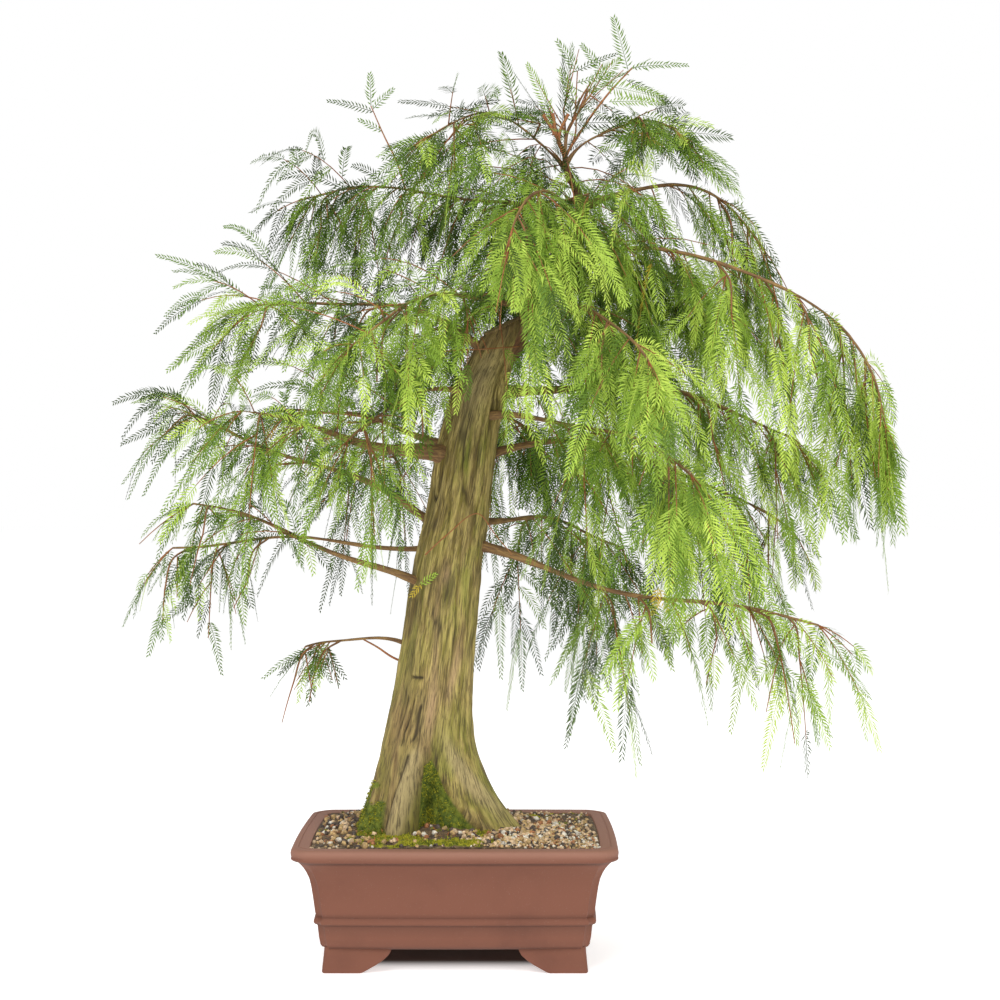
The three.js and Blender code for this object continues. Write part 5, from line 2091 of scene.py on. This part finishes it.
# Single twigs: radius at the root and at the tip, and points from root to tip
SINGLE_TWIGS = (
    (1.7, 0.9, ((127, 16, 930), (136, 17, 944), (156, 16, 974), (179, 15, 1004), (205, 15, 1032))),
    (1.1, 0.6, ((129, 17, 930), (138, 17, 953), (139, 18, 990), (141, 18, 1029))),
    (2.3, 2, ((126, 15, 926), (120, 14, 944), (100, 12, 977))),
    (2.1, 1.8, ((126, 15, 926), (117, 13, 950), (112, 12, 978))),
    (2, 1.8, ((127, 15, 926), (119, 12, 950), (130, 10, 977))),
    (0.9, 0.5, ((112, 12, 952), (112, 14, 970), (108, 15, 985))),
    (1.5, 0.9, ((-56, -4, 334), (-76, -6, 343), (-92, -7, 354), (-110, -8, 364))),
    (1.2, 0.6, ((-62, 42, 893), (-72, 40, 925), (-88, 38, 958), (-103, 36, 992))),
    (0.8, 0.6, ((-36, -34, 462), (-12, -42, 484), (26, -36, 509), (44, -31, 486), (64, -24, 462))),
    (1, 0.6, ((-40, -14, 694), (-11, -19, 697), (30, -21, 699), (52, -17, 701), (73, -10, 703))),
)


def bent(root, along, length, sag, share):
    """Points and directions along a shoot or a feather that bends towards the ground"""
    share = np.asarray(share)[:, None]
    reach = length / max(np.linalg.norm(along + sag * DOWN), LEAST_BEND)
    points = root + reach * (along * share + DOWN * sag * share ** 2)
    return points, unit(along + 2 * sag * share * DOWN)


def leaning(along, face, turn, lift=0.0):
    """A direction that leans off to one side of a shoot"""
    side = np.cross(face, along)
    return unit(along * math.cos(turn) + side * math.sin(turn) + face * lift)


def forwardness(point):
    """From -1 at the back of the crown to 1 at its front"""
    return np.clip(-point[1] / CROWN_HALF_DEPTH, -1, 1)


def painted_light_at(point):
    """Painted light and shade, from 0, dark, to 1, lime: lighter in front, on the right and
    outside, darker high up and low down
    """
    front = forwardness(point)
    right = np.clip((point[0] + 60) / 380, -1, 1)
    high = within_one((point[2] - 760) / 260)
    out = np.hypot(*(point[:2] - CROWN_MIDDLE)) / 330
    low = within_one((520 - point[2]) / 200)
    return 0.33 + 0.2 * front + 0.15 * right - 0.22 * high + 0.08 * out - 0.12 * low


def needle_at(point):
    """Length of the needles at a place, in shares of the longest: longest in front on the right"""
    right = within_one((point[0] + 120) / 380)
    return 0.56 + 0.1 * forwardness(point) + 0.34 * right


def rising_at(point):
    """How far shoots also rise from their stem: most in the upper crown, least on the right"""
    right = within_one((point[0] + 40) / 200)
    high = np.clip((point[2] - 440 - 90 * right) / (170 + 70 * right), 0.1, 1)
    return high * (1 - 0.9 * right)


def is_thinned(point, random):
    """Whether a shoot or a feather is left out: more of them are low down and near the top"""
    low, full = SPARSE_BELOW
    on_left = SPARSE_ON_LEFT * (point[0] < 0)
    share = within_one((point[2] - low - on_left) / (full - low))
    share = max(share, bell(point[0], *FULL_BESIDE_TRUNK))
    share = share - LEFT_STRANDS[2] * (point[0] < LEFT_STRANDS[0]) * (point[2] < LEFT_STRANDS[1])
    share = share - 1.5 * np.interp(point[2], SPARSE_ABOVE, (0, 1))
    share = share - 0.5 * bell(point[0], *OPEN_SHOULDER[:2]) * bell(point[2], *OPEN_SHOULDER[2:])
    return random.uniform() > SPARSE_SHARE + (1 - SPARSE_SHARE) * share


def new_feather(root, along, face, length, sag, random):
    middle = root + along * length / 2
    # A feather's tone is its painted light and shade, with a spread of its own at random
    return SimpleNamespace(
        root=root, along=along, face=facing(rotated(face, along, random.normal(0, 0.45)), along),
        length=length, sag=sag, tone=painted_light_at(middle) + random.normal(0, 0.2), tint=None,
        needle=needle_at(middle) * random.uniform(*FEATHER_SIZE),
    )


def sag_of(limb, random):
    return limb.weep * random.uniform(*SAG_RANGE)


def feathers_of_shoot(shoot, limb, random):
    """Feathers on both sides of a shoot, and the one that it ends in"""
    made = []
    for i in range(shoot.feathers):
        share = (i + random.uniform(0.1, 0.9)) / shoot.feathers
        points, tangents = bent(shoot.root, shoot.along, shoot.bare, shoot.sag, [share])
        spread = FEATHER_SPREAD[0] + (FEATHER_SPREAD[1] - FEATHER_SPREAD[0]) * share
        turn = hand_of(i) * math.radians(spread + random.normal(0, 8))
        out = leaning(tangents[0], shoot.face, turn, random.normal(0.06, 0.2))
        length = shoot.length * drawn(FEATHER_LENGTH, random)
        made.append(new_feather(points[0], out, shoot.face, length, sag_of(limb, random), random))
    points, tangents = bent(shoot.root, shoot.along, shoot.bare, shoot.sag, [1.0])
    made.append(new_feather(points[0], tangents[0], shoot.face, shoot.length * TIP_FEATHER,
                            0.5 * sag_of(limb, random), random))
    return made


def new_shoot(root, along, face, length, limb, random, feathers=FEATHERS_PER_SHOOT):
    along = unit(along)
    return SimpleNamespace(
        root=root, along=along, face=facing(face, along), length=length,
        bare=length * SHOOT_LENGTH, sag=0.4 * sag_of(limb, random), feathers=feathers,
    )


def shoots_of_spray(spray, limb, random):
    """The shoot that a solid spray stands for, and the shorter ones beside it"""
    made = [new_shoot(spray.root, spray.along, spray.normal, spray.length, limb, random)]
    for number in range(SIDE_SHOOTS):
        turn = hand_of(number) * math.radians(random.uniform(*SIDE_SHOOT_TURN))
        along = rotated(spray.along, spray.normal, turn) + 0.22 * random.normal(size=3)
        share = drawn(SIDE_SHOOT_LENGTH, random)
        made.append(new_shoot(spray.root, along, spray.normal, spray.length * share, limb, random,
                              SHORT_SHOOT))
    return made


def side_roots(route, spacing, start, random):
    """Places along a route, the direction of the route there, and the side that each is on"""
    gone = distances_along(route)
    for i in range(int((gone[-1] - start) / spacing)):
        at = start + (i + random.uniform()) * spacing
        row = min(np.searchsorted(gone, at), len(route) - 1)
        along = unit(route[row] - route[max(row - 1, 0)])
        flat = np.cross(along, DOWN)
        flat = unit(flat) if np.linalg.norm(flat) > 0.05 else np.array([1.0, 0.0, 0.0])
        yield row_at(route, gone, at), along, flat * hand_of(i)


def shoots_of_stem(stem, limb, random):
    """Shoots that leave a stem all along it, on both sides and under it"""
    made = []
    for root, along, flat in side_roots(stem, STEM_SHOOT_SPACING, 0, random):
        lean = math.radians(random.uniform(*STEM_SHOOT_LEAN))
        out = along * math.cos(lean) + flat * math.sin(lean)
        out = out + DOWN * random.uniform(-1.2 * rising_at(root), 0.3 + 1.3 * limb.weep)
        face = unit(outward(root, random.uniform(*STEM_SHOOT_RISE)))
        length = drawn(STEM_SHOOT_LENGTH, random) * limb.spray_scale
        made.append(new_shoot(root, out, face, length, limb, random, STEM_SHOOT))
    tip, along = stem[-1], end_direction(stem)
    face = unit(outward(tip, FACE_RISE))
    for _ in range(TIP_SHOOTS):
        length = drawn(TIP_SHOOT_LENGTH, random) * limb.spray_scale
        out = along + 0.3 * random.normal(size=3) + DOWN * (1 - rising_at(tip)) * 0.8
        made.append(new_shoot(tip, out, face, length, limb, random, SHORT_SHOOT))
    return made


def feathers_along(route, spacing, start, limb, random):
    """Feathers on both sides of a twig or a stem"""
    made = []
    for root, along, flat in side_roots(route, spacing, start, random):
        lean = math.radians(random.normal(*FEATHER_LEAN))
        hang = random.uniform(-0.9 * rising_at(root), 0.2 + 1.2 * limb.weep)
        out = unit(along * math.cos(lean) + flat * math.sin(lean) + DOWN * hang)
        face = unit(outward(root, FACE_RISE))
        length = drawn(TWIG_FEATHER, random) * limb.spray_scale
        made.append(new_feather(root, out, face, length, sag_of(limb, random), random))
    return made


def inner_twigs(limb, random):
    """Twigs on the bough itself, near the trunk, some rising and some hanging"""
    start = limb.in_wood + INNER_START
    routes = []
    for root, along, flat in side_roots(limb.bough, INNER_SPACING, start, random):
        lean = math.radians(random.uniform(*INNER_LEAN))
        out = along * math.cos(lean) + flat * math.sin(lean) + DOWN * random.uniform(-1.1, 0.9)
        length = drawn(INNER_TWIG, random)
        routes.append(bent(root, unit(out), length, sag_of(limb, random), TWIG_SHARES)[0])
    return routes


def leader_twigs(random):
    """Twigs all round the live leader"""
    route = LEADER[1:, :3]
    gone = distances_along(route)
    routes = []
    for number in range(int(gone[-1] / LEADER_SPACING)):
        at = (number + random.uniform()) * LEADER_SPACING
        bearing = GOLDEN_TURN * number + random.uniform(-25, 25)
        out = heading(bearing, random.uniform(-15, 55))
        length = drawn(LEADER_TWIG, random)
        sag = random.uniform(0.3, 0.9)
        routes.append(bent(row_at(route, gone, at), out, length, sag, TWIG_SHARES)[0])
    return routes


def hides_trunk(points, below=FRONT_OPEN_BELOW):
    """Which points stand before the open front of the trunk, as the camera sees them"""
    eye = np.array([CAMERA_ACROSS, -CAMERA_AWAY, CAMERA_HEIGHT])
    seen = eye + (points - eye) * (CAMERA_AWAY / (points[:, 1:2] + CAMERA_AWAY))
    middle, _, width = trunk_row(seen[:, 2])
    before = (points[:, 1] < 0) & (np.abs(seen[:, 0] - middle) < width / 2 + 3)
    return before & (seen[:, 2] < below)


def within_box(points):
    """Which points keep to the box of the solids, with a little over"""
    placed = to_frame(points)
    low, high = np.array(cad_box[0]) - BOX_MARGIN, np.array(cad_box[1]) + BOX_MARGIN
    return ((placed > low) & (placed < high)).all(axis=1)


def keep_free(feathers, crown):
    """The feathers that touch no limb, stay above the pot and leave the trunk's front open"""
    points = np.array([bent(feather.root, feather.along, feather.length, feather.sag,
                            FEATHER_POINTS)[0] for feather in feathers])
    free = np.ones(len(feathers), bool)
    hang_there = seeded("front").uniform(size=len(feathers)) < FRONT_THIN_SHARE
    for here in points.transpose(1, 0, 2):
        middle, _, _ = trunk_row(here[:, 2])
        kept_left = hang_there & (here[:, 0] < middle - 4)
        free &= ~hides_trunk(here, FRONT_THIN_BELOW) | kept_left
        free &= crown.clear_of_wood(here) > FEATHER_CLEARANCE
        lowest = np.where(here[:, 0] < LEFT_OF_TRUNK, LOWEST_ON_LEFT, LOWEST_FEATHER)
        free &= (here[:, 2] > lowest) & (here[:, 2] < HIGHEST_FEATHER)
        free &= ~hides_trunk(here) & within_box(here)
    random = seeded("thinning")
    return [feather for feather, kept, point in zip(feathers, free, points[:, 1])
            if kept and not is_thinned(point, random)]


def needles(feather, settings, random):
    """Points and faces of one feather: its rachis and two rows of needles"""
    pairs = max(FEWEST_PAIRS, int(feather.length * MM / settings.needle_step))
    order = np.arange(2 * pairs)
    share = (order + 0.8) / (2 * pairs + 0.5)
    centre, tangent = bent(feather.root, feather.along, feather.length, feather.sag, share)
    side = unit(np.cross(feather.face, tangent))
    up = np.cross(tangent, side)
    hand = np.where(order % 2 == 0, 1.0, -1.0)[:, None]
    wide, less = NEEDLE_SPREAD
    spread = np.radians(wide - less * share + random.normal(0, 5, 2 * pairs))[:, None]
    full = np.minimum(1, 0.45 + 3 * share) * (1 - 0.62 * share ** 2.8)
    length = settings.needle / MM * feather.needle
    reach = length * full * random.uniform(*NEEDLE_RANGE, 2 * pairs)
    lift = random.normal(-0.04, 0.1, 2 * pairs)[:, None]
    out = unit(np.cos(spread) * tangent + hand * np.sin(spread) * side + lift * up)
    width = np.full(2 * pairs, settings.needle_width / MM)
    raised = unit(np.cross(out, np.cross(up, out)))
    points, faces = blades(centre, out, raised, reach, width, 0.3 * width)
    points[3::4] += NEEDLE_BEND * reach[:, None] * tangent
    stem, _ = bent(feather.root, feather.along, feather.length, feather.sag,
                   np.linspace(0, 1, RACHIS_STEPS + 1))
    stem_points, stem_faces, _, _ = tube(stem, np.linspace(*RACHIS_RADII, RACHIS_STEPS + 1), 3)
    return np.concatenate([points, stem_points]), np.concatenate([faces, stem_faces + len(points)])


def sprigs():
    """The single feathers of the table, each facing forward"""
    made = []
    for tint, root, tip, needle in SPRIGS:
        root, tip = np.array(root, float), np.array(tip, float)
        along = unit(tip - root + [0, 0, 4])
        made.append(SimpleNamespace(
            root=root, along=along, face=facing(-FRONT, along), tone=0, tint=tint, needle=needle,
            length=np.linalg.norm(tip - root), sag=SPRIG_SAG,
        ))
    return made


def tint_of(feather, random):
    """Deals a base colour to a feather by its painted light and shade, with a spread of tone at
    random
    """
    if feather.tint:
        return feather.tint
    if random.uniform() < GOLD_SHARE:
        return "gold"
    rank = (feather.tone + random.normal(0, 0.1)) * len(TINTS)
    return TINTS[int(np.clip(len(TINTS) - rank, 0, len(TINTS) - 1))]


class BONSAI_OT_foliage(bpy.types.Operator):
    """Grow the twigs, the shoots and the feathers of needles"""
    bl_idname = "bonsai.foliage"
    bl_label = "Foliage"

    def execute(self, context):
        crown = Crown()
        twigs = Batch()
        shoots = Batch()
        feathers = []
        for limb in crown.limbs:
            random = np.random.default_rng(limb.seed)
            feathers += self.grow_limb(limb, crown, twigs, shoots, random)
            if limb.height > INNER_ABOVE and limb.bare > 0:
                feathers += self.grow_inner(inner_twigs(limb, random), limb, crown, shoots, random)
        random = seeded("leader")
        top = crown.limbs[LIMB_NAMES.index("front_crown")]
        feathers += self.grow_inner(leader_twigs(random), top, crown, shoots, random)
        for thick, thin, points in SINGLE_TWIGS:
            route = smooth_route(points, SPRIG_STEP)
            shoots.add_tube(route, np.linspace(thick, thin, len(route)), TWIG_SIDES)
        bark = context.scene.bonsai_bark
        nodes = [f"foliage_{limb.name}" for limb in crown.limbs]
        dress(twigs.piece("twigs_wood", smooth=True),
              limb_material("twig_bark", bark.twig, bark.limb), nodes)
        dress(shoots.piece("shoots_wood", smooth=True),
              limb_material("shoot_bark", bark.twig, bark.shoot))
        self.add_needles(keep_free(feathers, crown) + sprigs(), context.scene.bonsai_foliage)
        return {"FINISHED"}

    def grow_limb(self, limb, crown, twigs, shoots, random):
        """Twigs and shoots of one limb, and the feathers that they carry"""
        twig_routes, sprays = grow_mass(limb, crown)
        stem = smooth_route(limb.stem, STEM_STEP)
        feathers = feathers_along(stem, STEM_FEATHER_SPACING, STEM_START, limb, random)
        for route in twig_routes:
            eased = smooth_route(route, STEM_STEP)
            radii = np.linspace(TWIG_RADII[0], TWIG_RADII[len(route) - 1], len(eased))
            twigs.add_tube(eased, radii, TWIG_SIDES)
            feathers += feathers_along(eased, TWIG_FEATHER_SPACING, TWIG_START, limb, random)
        grown = [shoot for spray in sprays for shoot in shoots_of_spray(spray, limb, random)]
        for shoot in grown + shoots_of_stem(stem, limb, random):
            if is_thinned(shoot.root, random):
                continue
            route, _ = bent(shoot.root, shoot.along, shoot.bare, shoot.sag,
                            np.linspace(0, 1, SHOOT_STEPS))
            if crown.has_room(route, -2):
                shoots.add_tube(route, np.linspace(*SHOOT_GIRTH, SHOOT_STEPS) / 2, SHOOT_SIDES)
                feathers += feathers_of_shoot(shoot, limb, random)
        return feathers

    def grow_inner(self, routes, limb, crown, shoots, random):
        """Thin twigs of the inner crown, and the feathers along them and at their ends"""
        feathers = []
        for route in routes:
            if not crown.has_room(route, 2):
                continue
            shoots.add_tube(route, np.linspace(*SHOOT_GIRTH, len(route)) / 2, SHOOT_SIDES)
            feathers += feathers_along(route, INNER_FEATHER_SPACING, INNER_TWIG_START, limb,
                                       random)
            face = unit(outward(route[-1], FACE_RISE))
            length = random.uniform(*INNER_TIP)
            feathers.append(new_feather(route[-1], end_direction(route), face, length,
                                        sag_of(limb, random), random))
        return feathers

    def add_needles(self, feathers, settings):
        random = seeded("tints")
        batches = {name: [Batch()] for name in (*TINTS, "gold")}
        for feather in feathers:
            rows = batches[tint_of(feather, random)]
            if rows[-1].triangles() > LARGEST_PIECE - SPACE_OF_FEATHER:
                rows.append(Batch())
            rows[-1].add(*needles(feather, settings, random))
        for name, rows in batches.items():
            material = Finish("needles_" + name, getattr(settings, name), Roughness=0.6,
                              Specular_IOR_Level=0.25).finished()
            for number, batch in enumerate(rows):
                dress(batch.piece(f"needles_{name}_{number + 1}"), material)


# Panel

SETTINGS = (
    ("bonsai_pot", BonsaiPotSettings),
    ("bonsai_bark", BonsaiBarkSettings),
    ("bonsai_soil", BonsaiSoilSettings),
    ("bonsai_foliage", BonsaiFoliageSettings),
    ("bonsai_stage", BonsaiStageSettings),
)
OPERATORS = (
    BONSAI_OT_stage,
    BONSAI_OT_pot,
    BONSAI_OT_soil,
    BONSAI_OT_gravel,
    BONSAI_OT_moss,
    BONSAI_OT_litter,
    BONSAI_OT_trunk,
    BONSAI_OT_limbs,
    BONSAI_OT_foliage,
)


class BONSAI_PT_panel(bpy.types.Panel):
    """Sizes, colours and steps of the bonsai"""
    bl_idname = "BONSAI_PT_panel"
    bl_label = "Bald Cypress Bonsai"
    bl_space_type = "VIEW_3D"
    bl_region_type = "UI"
    bl_category = "Bonsai"

    def draw(self, context):
        for key, settings in SETTINGS:
            box = self.layout.box()
            box.label(text=key.replace("bonsai_", "").title())
            for field in settings.__annotations__:
                box.prop(getattr(context.scene, key), field)
        for operator in OPERATORS:
            self.layout.operator(operator.bl_idname)


def register():
    for key, settings in SETTINGS:
        bpy.utils.register_class(settings)
        setattr(bpy.types.Scene, key, bpy.props.PointerProperty(type=settings))
    for operator in OPERATORS:
        bpy.utils.register_class(operator)
    bpy.utils.register_class(BONSAI_PT_panel)


def unregister():
    bpy.utils.unregister_class(BONSAI_PT_panel)
    for operator in reversed(OPERATORS):
        bpy.utils.unregister_class(operator)
    for key, settings in reversed(SETTINGS):
        delattr(bpy.types.Scene, key)
        bpy.utils.unregister_class(settings)


def main():
    register()
    for operator in OPERATORS:
        group, name = operator.bl_idname.split(".")
        getattr(getattr(bpy.ops, group), name)()


if __name__ == "__main__":
    main()
